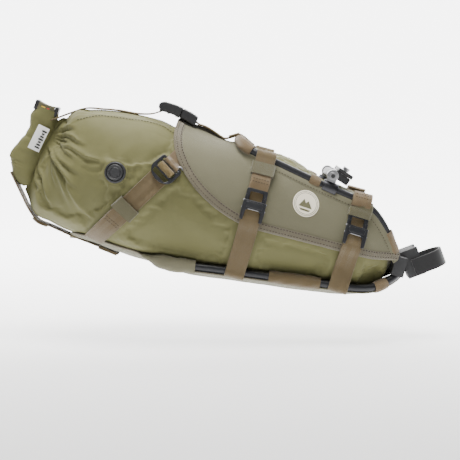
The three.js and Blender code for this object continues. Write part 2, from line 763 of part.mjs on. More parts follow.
function addStraps() {
  for (const [name, along] of STRAP_STATIONS) {
    placePair(`${name}_strap_upper`, strapUpper(along), webbing);
    placePair(`${name}_strap_lower`, strapLower(along), webbing);
    placePair(`${name}_hook_frame`, hookFrame(along), gunmetal);
    placePair(`${name}_hook_base`, buckleBase(along), gunmetal);
  }
  placePair('diagonal_strap', diagonalStrap(), webbing);
  placePair('diagonal_buckle', diagonalBuckle(), blackPlastic);
  placePair('diagonal_hook', diagonalHook(), gunmetal);
  place(pack, 'top_strap_rear', topStrapRear(), webbing);
  place(pack, 'top_strap_front', topStrapFront(), webbing);
  place(pack, 'bottom_strap', bottomStrap(), webbing);
  place(pack, 'buckle_male', buckleMale(), blackPlastic);
  place(pack, 'buckle_female', buckleFemale(), blackPlastic);
}

function addDryBag() {
  place(pack, 'dry_bag', dryBag(), olive);
  place(closure, 'rolled_closure', roll(), olive);
  place(closure, 'closure_clip_top', rollClip(ROLL_LENGTH + GAP, ROLL_LENGTH + 3.6), blackPlastic);
  place(closure, 'closure_clip_bottom', rollClip(-3.6, -GAP), blackPlastic);
  place(pack, 'valve_base', valveBase(), blackPlastic);
  place(pack, 'valve_cap', valveCap(), blackPlastic);
}

addFrame();
addSaddleClamp();
addPostRest();
addCanvas();
addStraps();
addDryBag();

export default saddleBag;
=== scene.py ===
"""Final looks of a framed saddle bag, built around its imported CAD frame.

Most of the object is drawn in the pack's own frame, in millimetres: along the bag (forward), across
(right is negative) and square to the bag (up). The pack falls forward by TILT about the rail clamp.
"""

import math

import bmesh
import bpy
import numpy as np
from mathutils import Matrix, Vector

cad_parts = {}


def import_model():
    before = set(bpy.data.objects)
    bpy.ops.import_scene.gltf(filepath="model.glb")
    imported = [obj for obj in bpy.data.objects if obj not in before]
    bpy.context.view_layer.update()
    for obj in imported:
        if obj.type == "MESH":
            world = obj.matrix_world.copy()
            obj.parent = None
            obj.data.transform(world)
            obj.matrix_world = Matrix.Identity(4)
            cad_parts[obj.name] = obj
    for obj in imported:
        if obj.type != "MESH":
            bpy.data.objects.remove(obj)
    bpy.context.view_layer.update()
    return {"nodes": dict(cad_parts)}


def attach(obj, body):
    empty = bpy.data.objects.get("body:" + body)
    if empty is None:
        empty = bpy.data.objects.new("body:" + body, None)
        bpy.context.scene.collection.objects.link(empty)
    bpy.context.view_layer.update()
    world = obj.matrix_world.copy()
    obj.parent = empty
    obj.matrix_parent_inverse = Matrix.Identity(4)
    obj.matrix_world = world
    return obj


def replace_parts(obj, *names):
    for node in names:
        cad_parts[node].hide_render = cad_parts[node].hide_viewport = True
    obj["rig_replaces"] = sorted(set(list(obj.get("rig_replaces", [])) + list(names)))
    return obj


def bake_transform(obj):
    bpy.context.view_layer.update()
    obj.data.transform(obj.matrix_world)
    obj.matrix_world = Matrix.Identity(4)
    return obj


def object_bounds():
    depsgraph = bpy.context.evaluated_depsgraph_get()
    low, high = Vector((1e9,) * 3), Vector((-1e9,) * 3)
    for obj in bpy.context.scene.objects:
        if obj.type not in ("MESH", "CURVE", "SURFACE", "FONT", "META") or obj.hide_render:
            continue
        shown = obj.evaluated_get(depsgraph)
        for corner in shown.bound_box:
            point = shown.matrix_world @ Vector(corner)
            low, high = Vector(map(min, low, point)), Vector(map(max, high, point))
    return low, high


MM = 0.001
TILT = math.radians(15)
SIDES = ("right", "left")
WEB_WIDTH, WEB_THICK = 25.0, 1.8

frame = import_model()


# --- Small geometry helpers, all on numpy arrays in millimetres


def xyz(*columns):
    """Points from their separate coordinates; single numbers are spread over the rest."""
    return np.stack(np.broadcast_arrays(*columns), -1)


def leant(points, angle):
    """Turns points forward and down about the Y axis."""
    p = np.asarray(points, float)
    c, s = math.cos(angle), math.sin(angle)
    return xyz(p[..., 0] * c + p[..., 2] * s, p[..., 1], p[..., 2] * c - p[..., 0] * s)


def world(points):
    """Pack-frame millimetres to metres in the row's frame."""
    return leant(points, TILT) * MM


def circle(count):
    return np.linspace(0, 2 * math.pi, count, endpoint=False)


def unit(v):
    return v / np.maximum(np.linalg.norm(v, axis=-1, keepdims=True), 1e-9)


def smoothstep(a, b, x):
    t = np.clip((x - a) / (b - a), 0, 1)
    return t * t * (3 - 2 * t)


def hermite(x, xs, ys):
    """Smooth curve through (xs, ys), with slopes from the neighbours."""
    xs, ys = np.asarray(xs, float), np.asarray(ys, float)
    slope = np.gradient(ys, xs)
    i = np.clip(np.searchsorted(xs, x) - 1, 0, len(xs) - 2)
    h = xs[i + 1] - xs[i]
    u = np.clip((x - xs[i]) / h, 0, 1)
    first = (1 + 2 * u) * (1 - u) ** 2 * ys[i] + u * (1 - u) ** 2 * h * slope[i]
    return first + u * u * (3 - 2 * u) * ys[i + 1] + u * u * (u - 1) * h * slope[i + 1]


def lengths(points):
    steps = np.linalg.norm(np.diff(points, axis=0), axis=-1)
    return np.concatenate([[0], np.cumsum(steps)])


def resample(points, spacing=None, count=None):
    points = np.asarray(points, float)
    total = lengths(points)
    if count is None:
        count = max(int(round(total[-1] / spacing)) + 1, 2)
    at = np.linspace(0, total[-1], count)
    return np.stack([np.interp(at, total, points[:, k]) for k in range(points.shape[1])], -1)


def smooth_path(points, spacing=2.0, count=None):
    """Centripetal Catmull-Rom curve through points, evenly resampled."""
    p = np.array(points, float)
    ends = np.vstack([2 * p[0] - p[1], p, 2 * p[-1] - p[-2]])
    u = np.linspace(0, 1, 24, endpoint=False)[:, None]
    pieces = []
    for a, b, c, d in zip(ends, ends[1:], ends[2:], ends[3:]):
        k0, k1, k2 = (max(np.linalg.norm(q - r), 1e-6) ** 0.5 for q, r in ((b, a), (c, b), (d, c)))
        t1 = ((b - a) / k0 - (c - a) / (k0 + k1) + (c - b) / k1) * k1
        t2 = ((c - b) / k1 - (d - b) / (k1 + k2) + (d - c) / k2) * k1
        start = (2 * u**3 - 3 * u**2 + 1) * b + (u**3 - 2 * u**2 + u) * t1
        pieces.append(start + (3 * u**2 - 2 * u**3) * c + (u**3 - u**2) * t2)
    return resample(np.vstack(pieces + [p[-1:]]), spacing, count)


def tangents(path):
    return unit(np.gradient(path, axis=0))


def noise(points, size, seed):
    """Smooth noise from -1 to 1, in lumps of the given size."""
    table = np.random.default_rng(seed).uniform(-1, 1, 4096)
    q = np.asarray(points, float) / size
    base = np.floor(q).astype(np.int64)
    f = q - base
    f = f * f * (3 - 2 * f)
    total = 0
    for corner in range(8):
        step = np.array([corner & 1, corner >> 1 & 1, corner >> 2 & 1])
        k = base + step
        key = (k[..., 0] * 73856093 ^ k[..., 1] * 19349663 ^ k[..., 2] * 83492791) & 4095
        total = total + table[key] * np.prod(np.where(step, f, 1 - f), axis=-1)
    return total


# --- Mesh building


class Parts:
    """Collects grids, lofts and stitches into the mesh of one piece."""

    def __init__(self):
        self.verts, self.faces, self.uvs, self.count = [], [], [], 0

    def add(self, verts, faces, uv=None):
        verts = np.asarray(verts, float).reshape(-1, 3)
        uv = verts[:, :2] if uv is None else np.asarray(uv, float).reshape(-1, 2)
        self.faces += [tuple(i + self.count for i in face) for face in faces]
        self.verts.append(verts)
        self.uvs.append(uv)
        self.count += len(verts)
        return self

    def loft(self, rings, uv=None, closed=True, caps=True):
        """Skins rows of points; closed joins each row's ends, caps fills the first and last rows."""
        rings = np.asarray(rings, float)
        rows, cols = rings.shape[:2]
        if uv is None:
            uv = ring_uv(rings)
        faces = []
        for r in range(rows - 1):
            for c in range(cols if closed else cols - 1):
                a, b = r * cols + c, r * cols + (c + 1) % cols
                faces.append((a, b, b + cols, a + cols))
        if caps:
            faces.append(tuple(reversed(range(cols))))
            faces.append(tuple((rows - 1) * cols + c for c in range(cols)))
        return self.add(rings, faces, uv)

    def shell(self, grid, normals, outer, inner):
        """A closed sheet: the grid grown outward and inward along its normals."""
        top, low = grid + normals * outer, grid + normals * inner
        rows, cols = grid.shape[:2]
        uv = grid_uv(grid)
        n = rows * cols
        faces = []
        for r in range(rows - 1):
            for c in range(cols - 1):
                a = r * cols + c
                faces.append((a, a + 1, a + 1 + cols, a + cols))
                faces.append((n + a, n + a + cols, n + a + 1 + cols, n + a + 1))
        rim = list(range(cols)) + [r * cols + cols - 1 for r in range(1, rows)]
        rim += [(rows - 1) * cols + c for c in range(cols - 2, -1, -1)]
        rim += [r * cols for r in range(rows - 2, 0, -1)]
        for a, b in zip(rim, rim[1:] + rim[:1]):
            faces.append((b, a, n + a, n + b))
        verts = np.concatenate([top.reshape(-1, 3), low.reshape(-1, 3)])
        return self.add(verts, faces, np.concatenate([uv, uv]))

    def mirrored(self):
        other = Parts()
        flip = np.array([1, -1, 1])
        other.verts = [v * flip for v in self.verts]
        other.faces = [tuple(reversed(f)) for f in self.faces]
        other.uvs, other.count = list(self.uvs), self.count
        return other


def ring_uv(rings):
    u, v = np.meshgrid(lengths(rings[0]), lengths(rings.mean(1)))
    return xyz(u, v).reshape(-1, 2)


def grid_uv(grid):
    """Flat coordinates measured along a grid's own columns and rows."""
    u = np.linalg.norm(np.diff(grid, axis=1, prepend=grid[:, :1]), axis=-1).cumsum(1)
    v = np.linalg.norm(np.diff(grid, axis=0, prepend=grid[:1]), axis=-1).cumsum(0)
    return xyz(u, v).reshape(-1, 2)


def piece(name, parts, material, body="harness", replaces=(), sharp=40, transform=world):
    """Makes the mesh, gives it its finish and lets it ride on its body."""
    verts = transform(np.concatenate(parts.verts))
    mesh = bpy.data.meshes.new(name)
    mesh.from_pydata(verts.tolist(), [], parts.faces)
    uv = np.concatenate(parts.uvs)
    loops = np.empty(len(mesh.loops), np.int32)
    mesh.loops.foreach_get("vertex_index", loops)
    mesh.uv_layers.new(name="UVMap").data.foreach_set("uv", uv[loops].astype(np.float32).ravel())
    obj = bpy.data.objects.new(name, mesh)
    bpy.context.scene.collection.objects.link(obj)
    return dress(obj, material, body, replaces, sharp)


def dress(obj, material, body, replaces=(), sharp=40):
    mesh = obj.data
    mesh.polygons.foreach_set("use_smooth", np.ones(len(mesh.polygons), bool))
    if sharp:
        mesh.set_sharp_from_angle(angle=math.radians(sharp))
    mesh.materials.clear()
    mesh.materials.append(material)
    mesh.update()
    if body:
        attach(obj, body)
    if replaces:
        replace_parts(obj, *replaces)
    return obj


def pair(name, parts, material, body="harness", replaces=(), sharp=40):
    """The right-hand piece and its mirror image; {side} in names is filled in."""
    made = []
    for side, mesh in zip(SIDES, (parts, parts.mirrored())):
        nodes = [node.format(side=side) for node in replaces]
        made.append(piece(f"{side}_{name}", mesh, material, body.format(side=side), nodes, sharp))
    return made


def outward(grid, centre):
    """Unit normals of a grid of points, pointing away from centre."""
    n = unit(np.cross(np.gradient(grid, axis=0), np.gradient(grid, axis=1)))
    sign = np.sign(np.sum(n * (grid - centre), -1).mean())
    return n * sign


def strap(parts, path, outs, width, thick):
    """A webbing strap with rounded edges; outs are the outward directions along its path."""
    path = np.asarray(path, float)
    outs = np.broadcast_to(np.asarray(outs, float), path.shape)
    t = tangents(path)
    side = unit(np.cross(t, outs))
    out = unit(np.cross(side, t))
    w, h = width / 2, thick / 2
    x = np.array([-w, -w + 0.4, -w + 1.6, -w / 2, 0, w / 2, w - 1.6, w - 0.4, w])
    lift = np.array([0, 0.85, 1, 0.92, 0.9, 0.92, 1, 0.85, 0]) * h
    xs, hs = np.concatenate([x, x[-2:0:-1]]), np.concatenate([lift, -lift[-2:0:-1]])
    rings = path[:, None] + side[:, None] * xs[None, :, None] + out[:, None] * hs[None, :, None]
    u, v = np.meshgrid(xs + w, lengths(path))
    return parts.loft(rings, xyz(u, v).reshape(-1, 2))


def tube(parts, path, radius, sides=28, squash=None):
    """A round bar along a path, with parallel-carried frames."""
    path = np.asarray(path, float)
    t = tangents(path)
    ref = np.array([0, 0, 1.0]) if abs(t[0][2]) < 0.9 else np.array([1.0, 0, 0])
    normals = []
    n = unit(ref - t[0] * np.dot(ref, t[0]))
    for k in t:
        n = unit(n - k * np.dot(n, k))
        normals.append(n)
    normals = np.array(normals)
    side = np.cross(t, normals)
    radius = np.broadcast_to(np.asarray(radius, float), (len(path),))
    a = circle(sides)
    ring = np.cos(a)[None, :, None] * normals[:, None] + np.sin(a)[None, :, None] * side[:, None]
    return parts.loft(path[:, None] + ring * radius[:, None, None])


def stitches(parts, path, outs, length=2.6, gap=1.5, thick=0.42, lift=0.1):
    """A row of separate thread stitches along a path."""
    path = resample(np.hstack([path, np.broadcast_to(outs, np.shape(path))]), 0.5)
    p, n = path[:, :3], unit(path[:, 3:])
    t = tangents(p)
    total = lengths(p)[-1]
    starts = np.arange(0.5, total - length, length + gap)
    a = circle(6)
    shape = [(-0.5, 0.3, -0.35), (-0.36, 1, 0.1), (0, 1.08, 0.3), (0.36, 1, 0.1), (0.5, 0.3, -0.35)]
    for s in starts:
        k = min(int((s + length / 2) / total * (len(p) - 1)), len(p) - 1)
        side = np.cross(t[k], n[k])
        rings = []
        for x, r, up in shape:
            c = p[k] + t[k] * x * length + n[k] * (lift + up * thick)
            rings.append(c + (np.cos(a)[:, None] * side + np.sin(a)[:, None] * n[k] * 0.8) * r * thick)
        parts.loft(rings)
    return parts


def cross_stitch(parts, path, outs, i, half, lift):
    """A row of stitches straight across a strap."""
    side = unit(np.cross(tangents(path)[i], outs[i]))
    row = path[i] + np.linspace(-half, half, 20)[:, None] * side + outs[i] * lift
    stitches(parts, row, outs[i], 2.2, 1.3, 0.36)


def rounded(corners, radius, steps=5):
    """A polygon's outline with its corners rounded off; radius is one number or one for each corner."""
    corners = np.asarray(corners, float)
    radii = np.broadcast_to(np.asarray(radius, float), (len(corners),))
    out = []
    for i, (p, r) in enumerate(zip(corners, radii)):
        before, after = unit(corners[i - 1] - p), unit(corners[(i + 1) % len(corners)] - p)
        half = math.acos(np.clip(np.dot(before, after), -1, 1)) / 2
        back = r / math.tan(half)
        a, b = p + before * back, p + after * back
        for u in np.linspace(0, 1, steps):
            out.append((1 - u) ** 2 * a + 2 * u * (1 - u) * p + u * u * b)
    return np.array(out)


def box(x0, y0, x1, y1, radius, steps=5):
    return rounded([(x0, y0), (x1, y0), (x1, y1), (x0, y1)], radius, steps)


def plate(parts, outlines, low, high, bevel, matrix, steps=3):
    """A flat plate with holes and rounded edges: the first outline is its rim, the others are holes."""
    curve = bpy.data.curves.new("outline", "CURVE")
    curve.dimensions = "2D"
    curve.fill_mode = "BOTH"
    curve.extrude = (high - low) / 2 - bevel
    curve.bevel_depth = bevel
    curve.bevel_resolution = steps
    curve.offset = -bevel
    for outline in outlines:
        spline = curve.splines.new("POLY")
        spline.points.add(len(outline) - 1)
        spline.points.foreach_set("co", xyz(*np.transpose(outline), 0, 1).ravel())
        spline.use_cyclic_u = True
    holder = bpy.data.objects.new("outline", curve)
    bpy.context.scene.collection.objects.link(holder)
    graph = bpy.context.evaluated_depsgraph_get()
    mesh = bpy.data.meshes.new_from_object(holder.evaluated_get(graph))
    bpy.data.objects.remove(holder)
    bpy.data.curves.remove(curve)
    weld(mesh)
    co = np.empty(len(mesh.vertices) * 3)
    mesh.vertices.foreach_get("co", co)
    co = co.reshape(-1, 3) + [0, 0, (low + high) / 2]
    faces = [tuple(f.vertices) for f in mesh.polygons]
    bpy.data.meshes.remove(mesh)
    m = np.array(matrix)
    return parts.add(co @ m[:3, :3].T + m[:3, 3], faces, co[:, :2])


def weld(mesh, distance=1e-4):
    bm = bmesh.new()
    bm.from_mesh(mesh)
    bmesh.ops.remove_doubles(bm, verts=bm.verts, dist=distance)
    bmesh.ops.recalc_face_normals(bm, faces=bm.faces)
    bm.to_mesh(mesh)
    bm.free()


def refined(node, material, body, bevel=0.6, segments=3, name=None, bend=None, cuts=0):
    """A CAD node's own shape with its edges rounded off, standing for that node."""
    mesh = frame["nodes"][node].data.copy()
    bm = bmesh.new()
    bm.from_mesh(mesh)
    bmesh.ops.remove_doubles(bm, verts=bm.verts, dist=2e-6)
    bmesh.ops.dissolve_limit(bm, angle_limit=math.radians(1), verts=bm.verts, edges=bm.edges)
    edges = [e for e in bm.edges if len(e.link_faces) == 2 and e.calc_face_angle(0) > math.radians(35)]
    if bevel and edges:
        settings = {"segments": segments, "profile": 0.5, "affect": "EDGES", "clamp_overlap": True}
        bmesh.ops.bevel(bm, geom=edges, offset=bevel * MM, **settings)
    if cuts:
        bmesh.ops.triangulate(bm, faces=bm.faces)
        bmesh.ops.subdivide_edges(bm, edges=bm.edges, cuts=cuts, use_grid_fill=True)
    if bend:
        for v in bm.verts:
            v.co = Vector(bend(np.array(v.co)))
    bmesh.ops.recalc_face_normals(bm, faces=bm.faces)
    bm.to_mesh(mesh)
    bm.free()
    obj = bpy.data.objects.new(name or f"fine_{node}", mesh)
    bpy.context.scene.collection.objects.link(obj)
    return dress(obj, material, body, [node], 32)


# --- Materials


class Finish:
    """A principled material built node by node."""

    def __init__(self, name, colour, roughness, metal=0.0, sheen=0.0, coat=0.0, specular=0.5):
        self.material = bpy.data.materials.new(name)
        self.material.use_nodes = True
        self.tree = self.material.node_tree
        self.shader = self.tree.nodes["Principled BSDF"]
        settings = {
            "Metallic": metal, "Sheen Weight": sheen, "Sheen Roughness": 0.45, "Coat Weight": coat,
            "Coat Roughness": 0.35, "Specular IOR Level": specular, "Roughness": roughness,
        }
        for key, value in settings.items():
            self.shader.inputs[key].default_value = value
        self.colour = self.rgb(colour)
        self.roughness = roughness
        self.height = None

    def node(self, kind, settings=None, **inputs):
        made = self.tree.nodes.new("ShaderNode" + kind)
        for key, value in (settings or {}).items():
            setattr(made, key, value)
        for key, value in inputs.items():
            socket = made.inputs[int(key[1:])] if key[0] == "i" and key[1:].isdigit() else made.inputs[key]
            if isinstance(value, bpy.types.NodeSocket):
                self.tree.links.new(value, socket)
            else:
                socket.default_value = value
        return made

    def rgb(self, colour):
        made = self.tree.nodes.new("ShaderNodeRGB")
        made.outputs[0].default_value = (*colour, 1)
        return made.outputs[0]

    def math(self, operation, a, b=0.0):
        return self.node("Math", {"operation": operation}, i0=a, i1=b).outputs[0]

    def where(self):
        return self.node("TexCoord").outputs["Object"]

    def flat(self):
        return self.node("TexCoord").outputs["UV"]

    def speckle(self, size_mm, detail=2.0, rough=0.55, stretch=None):
        """Noise of one lump size, from 0 to 1."""
        vector = self.where()
        if stretch:
            vector = self.node("Mapping", None, Vector=vector, Scale=stretch).outputs[0]
        settings = {"Vector": vector, "Scale": 1000.0 / size_mm, "Detail": detail, "Roughness": rough}
        return self.node("TexNoise", None, **settings).outputs["Fac"]

    def shade(self, factor, amount, mid=0.5):
        """Lightens and darkens the colour by amount as factor runs from 0 to 1."""
        share = self.math("MULTIPLY", self.math("SUBTRACT", factor, mid), 2 * amount)
        value = self.math("ADD", share, 1.0)
        mix = self.node("VectorMath", {"operation": "SCALE"}, i0=self.colour)
        self.tree.links.new(value, mix.inputs["Scale"])
        self.colour = mix.outputs[0]
        return self

    def tint(self, factor, colour, low=0.45, high=0.75, strength=1.0):
        """Mixes in another colour where factor is high."""
        ramp = self.node("MapRange", None, Value=factor, i1=low, i2=high, i3=0.0, i4=strength).outputs[0]
        mix = self.node("Mix", {"data_type": "RGBA"}, i0=ramp)
        self.tree.links.new(self.colour, mix.inputs[6])
        mix.inputs[7].default_value = (*colour, 1)
        self.colour = mix.outputs[2]
        return self

    def rough(self, factor, amount):
        share = self.math("MULTIPLY", self.math("SUBTRACT", factor, 0.5), 2 * amount)
        value = self.math("ADD", share, self.roughness)
        self.tree.links.new(value, self.shader.inputs["Roughness"])
        return self

    def bump(self, height, depth_mm, strength=1.0):
        made = self.node("Bump", None, Height=height, Strength=strength, Distance=depth_mm * MM)
        if self.height:
            self.tree.links.new(self.height, made.inputs["Normal"])
        self.height = made.outputs[0]
        return self

    def done(self):
        self.tree.links.new(self.colour, self.shader.inputs["Base Color"])
        if self.height:
            self.tree.links.new(self.height, self.shader.inputs["Normal"])
        return self.material


def weave_height(f, pitch):
    """Plain weave from the piece's own flat coordinates, in millimetres."""
    parts = f.node("SeparateXYZ", None, Vector=f.flat()).outputs
    turn = 2 * math.pi / pitch
    across = f.math("SINE", f.math("MULTIPLY", parts[0], turn))
    along = f.math("SINE", f.math("MULTIPLY", parts[1], turn))
    return f.math("MULTIPLY", across, along)


def rib_height(f, pitch, rows):
    """Herringbone ribs across a webbing strap."""
    parts = f.node("SeparateXYZ", None, Vector=f.flat()).outputs
    zigzag = f.math("PINGPONG", parts[0], rows)
    place = f.math("ADD", parts[1], zigzag)
    return f.math("SINE", f.math("MULTIPLY", place, 2 * math.pi / pitch))


def canvas_finish(name, colour, fleck=0.07, pitch=1.1, depth=0.1):
    f = Finish(name, colour, 0.86, sheen=0.22, specular=0.25)
    weave = weave_height(f, pitch)
    f.shade(f.speckle(1.3, 3), fleck).shade(f.speckle(46, 3), 0.07)
    # The weave's height also sets the colour: painted shade in its dips and painted highlight on its crowns.
    f.shade(weave, 0.05, 0.0)
    f.rough(f.speckle(9), 0.07)
    return f.bump(weave, depth).bump(f.speckle(2.4, 3), 0.12, 0.7).done()


def webbing_finish(name, colour, pitch=1.7, rows=6.3, shine=0.25):
    f = Finish(name, colour, 0.72, sheen=0.3, specular=shine)
    ribs = rib_height(f, pitch, rows)
    # The ribs' height also sets the colour: painted shade in their grooves and painted highlight on their
    # crowns.
    f.shade(ribs, 0.09, 0.0).shade(f.speckle(1.0, 2), 0.08).shade(f.speckle(24), 0.08)
    f.rough(f.speckle(4), 0.1)
    return f.bump(ribs, 0.22).bump(f.speckle(0.9, 2), 0.08).done()


def nylon_finish(name, colour):
    f = Finish(name, colour, 0.66, sheen=0.08, specular=0.22)
    fine = f.speckle(0.9, 2)
    f.shade(f.speckle(70, 3), 0.07).shade(f.speckle(14, 4), 0.035).shade(fine, 0.02)
    f.rough(f.speckle(20, 3), 0.07)
    return f.bump(fine, 0.05, 0.6).bump(f.speckle(11, 4, 0.6), 0.5, 0.5).done()


def hard_finish(name, colour, roughness, metal=0.0, grain=0.8, depth=0.03, wear=None, coat=0.0):
    f = Finish(name, colour, roughness, metal, coat=coat)
    f.shade(f.speckle(26, 3), 0.08)
    f.rough(f.speckle(5, 4), 0.07)
    f.bump(f.speckle(grain, 3), depth)
    if wear:
        edge = f.node("NewGeometry").outputs["Pointiness"]
        worn = f.math("MULTIPLY", f.math("SUBTRACT", edge, 0.5), f.speckle(3, 3))
        f.tint(worn, wear, 0.03, 0.12, 0.55)
    return f.done()


def brushed_finish(name, colour, roughness):
    f = Finish(name, colour, roughness, 1.0)
    streaks = f.speckle(1.2, 4, 0.6, (1, 1, 14))
    f.shade(streaks, 0.1).rough(streaks, 0.12)
    return f.bump(streaks, 0.02).bump(f.speckle(0.7, 2), 0.015).done()


NYLON = nylon_finish("coated nylon", (0.126, 0.122, 0.049))
CANVAS = canvas_finish("grey-olive canvas", (0.143, 0.136, 0.086))
SLING = canvas_finish("pale canvas", (0.155, 0.147, 0.095))
BINDING = webbing_finish("binding tape", (0.15, 0.13, 0.086), pitch=1.2, rows=60)
WEB = webbing_finish("tan webbing", (0.12, 0.086, 0.039))
LOOP = webbing_finish("light tan webbing", (0.16, 0.112, 0.056), pitch=1.5)
TAIL = webbing_finish("olive-tan webbing", (0.16, 0.115, 0.042), pitch=1.5)
ELASTIC = webbing_finish("olive elastic", (0.115, 0.105, 0.052), pitch=1.1, rows=40)
THREAD = hard_finish("dark thread", (0.022, 0.018, 0.012), 0.7, grain=0.5)
TUBE = hard_finish(
    "anodised tube", (0.015, 0.0155, 0.018), 0.38, 0.35, grain=0.6, depth=0.012, wear=(0.12, 0.12, 0.13),
)
PLASTIC = hard_finish(
    "black plastic", (0.012, 0.012, 0.013), 0.42, grain=0.5, depth=0.03, wear=(0.05, 0.05, 0.055),
)
VALVE = hard_finish("valve plastic", (0.021, 0.0215, 0.023), 0.45, grain=0.5, depth=0.03)
RUBBER = hard_finish("rubber", (0.018, 0.0185, 0.02), 0.7, grain=0.9, depth=0.06)
GUNMETAL = hard_finish(
    "gunmetal", (0.02, 0.021, 0.024), 0.36, 0.35, grain=0.7, depth=0.02, wear=(0.16, 0.16, 0.17),
)
SILVER = brushed_finish("silver metal", (0.31, 0.31, 0.32), 0.34)
STEEL = brushed_finish("dark steel", (0.06, 0.06, 0.065), 0.34)
LOOPTAPE = webbing_finish("hook-and-loop band", (0.013, 0.013, 0.014), pitch=1.0, rows=30)
BADGE = canvas_finish("cream print", (0.84, 0.78, 0.63), fleck=0.03, depth=0.05)
MOTIF = canvas_finish("olive print", (0.13, 0.125, 0.07), fleck=0.05, depth=0.05)
LABEL = canvas_finish("white label", (0.8, 0.8, 0.78), fleck=0.02, depth=0.04)
PRINT = hard_finish("label print", (0.03, 0.03, 0.03), 0.8)
YELLOW = hard_finish("yellow mark", (0.72, 0.46, 0.03), 0.7)
RED = hard_finish("red mark", (0.5, 0.05, 0.03), 0.7)


# --- The bag's smooth skin: [along, top, bottom, half width]

SECTIONS = np.array([
    [-386, -34, -126, 5], [-378, -25, -135, 13], [-370, -13, -147, 34], [-342, -3, -158, 62],
    [-300, 4, -165, 75], [-214, 4, -172, 79], [-147, 0, -168, 75], [-68, 2.5, -160, 70],
    [-25, -12, -155, 65], [23, -19, -147, 61], [50, -32, -141, 56], [70, -50, -132, 43],
    [84, -70, -118, 25], [88, -84, -106, 8],
])
POWER_TOP, POWER_BOTTOM = 2.3, 2.0
LEAN, LEAN_FROM, LEAN_LENGTH = 0.14, -300, 78


def section(s):
    top, bottom, half = (hermite(s, SECTIONS[:, 0], SECTIONS[:, k]) for k in (1, 2, 3))
    return np.maximum(half, 1), (top + bottom) / 2, (top - bottom) / 2


def bag_skin(s, a, lift=0.0):
    """Angle 0 is the right flank, 90 degrees the top."""
    s, a = np.broadcast_arrays(np.asarray(s, float), np.asarray(a, float))
    half, middle, rise = section(s)
    power = 2 / np.where(np.sin(a) >= 0, POWER_TOP, POWER_BOTTOM)
    bend = lambda v: np.sign(v) * np.abs(v) ** power
    z = (rise + lift) * bend(np.sin(a))
    rear = np.clip((LEAN_FROM - s) / LEAN_LENGTH, 0, 1)
    return xyz(s + LEAN * rear * z, -(half + lift) * bend(np.cos(a)), middle + z)


def angle_at(s, t):
    _, middle, rise = section(np.asarray(s, float))
    share = np.clip((t - middle) / rise, -1, 1)
    power = np.where(share >= 0, POWER_TOP, POWER_BOTTOM)
    return np.arcsin(np.sign(share) * np.abs(share) ** (power / 2))


def on_bag(s, a, lift=0.0):
    """Skin point and outward normal."""
    e = 0.5
    du = bag_skin(s + e, a) - bag_skin(s - e, a)
    dv = bag_skin(s, a + 0.01) - bag_skin(s, a - 0.01)
    out = unit(np.cross(du, dv))
    return bag_skin(s, a) + out * np.asarray(lift, float)[..., None], out


def at_height(s, t, lift=0.0):
    return on_bag(s, angle_at(s, t), lift)


def push_out(p, lift):
    """Moves points that lie inside the bag out to lift above its skin."""
    half, middle, rise = section(p[..., 0])
    y, z = p[..., 1] / (half + lift), (p[..., 2] - middle) / (rise + lift)
    n = np.where(z >= 0, POWER_TOP, POWER_BOTTOM)
    q = (np.abs(y) ** n + np.abs(z) ** n) ** (1 / n)
    k = np.where(q < 1, 1 / np.maximum(q, 0.05), 1.0)
    return xyz(p[..., 0], p[..., 1] * k, middle + (p[..., 2] - middle) * k)


def flank_frame(s, t, lift, heading=(1, 0, 0)):
    """A flat frame resting on the right flank: X along the heading, Z outward."""
    at, out = at_height(np.float64(s), t, lift)
    x = unit(np.asarray(heading, float) - out * np.dot(heading, out))
    m = np.eye(4)
    m[:3, 0], m[:3, 1], m[:3, 2], m[:3, 3] = x, np.cross(out, x), out, at
    return m


def place(matrix, points):
    return np.asarray(points, float) @ matrix[:3, :3].T + matrix[:3, 3]


# --- Frame tubes, as in the CAD: [along, half gauge, height], front to rear

UPPER = [
    (98, 26, -88.5), (92, 31, -84), (83, 37, -74), (69, 43, -55), (55, 46, -41), (42, 48, -32), (25, 48, -26),
    (-23, 48, -18.5), (-92, 48, -6), (-122, 47, 0), (-135, 38, 5), (-140, 20, 8),
]
LOWER = [
    (107, 10, -94.5), (103, 20, -100), (96, 29, -109), (86, 37, -118), (73, 44, -126.5), (55, 49, -132),
    (30, 50, -136), (-21, 50, -142), (-72, 50, -148.5), (-130, 51, -156), (-190, 52, -164.5),
]
TUBE_R = 5.0


def mirrored_path(side, centre):
    right = [(x, -y, z) for x, y, z in side]
    return right + [centre] + [(x, y, z) for x, y, z in reversed(side)]


UPPER_PATH = smooth_path(mirrored_path(UPPER, (-140, 0, 8)), 2.0)
LOWER_PATH = smooth_path(mirrored_path(LOWER[::-1], (108.5, 0, -93)), 2.0)
UPPER_RIGHT = UPPER_PATH[: len(UPPER_PATH) // 2 + 1][::-1]
LOWER_RIGHT = LOWER_PATH[: len(LOWER_PATH) // 2 + 1]


def along_tube(path, start, end):
    """The part of a right-hand tube between two places along the pack."""
    keep = (path[:, 0] >= min(start, end)) & (path[:, 0] <= max(start, end))
    return resample(path[keep], 1.5)


def make_frame():
    for name, path in (("upper_frame_tube", UPPER_PATH), ("lower_frame_tube", LOWER_PATH)):
        piece(f"bent_{name}", tube(Parts(), path, TUBE_R), TUBE, "harness", [name])


# --- Dry bag: a lofted shell with ridged folds, puffed by a cloth simulation

BAG_ROWS, BAG_COLS = 300, 288
PINCH = np.array([-376.0, 48.0])

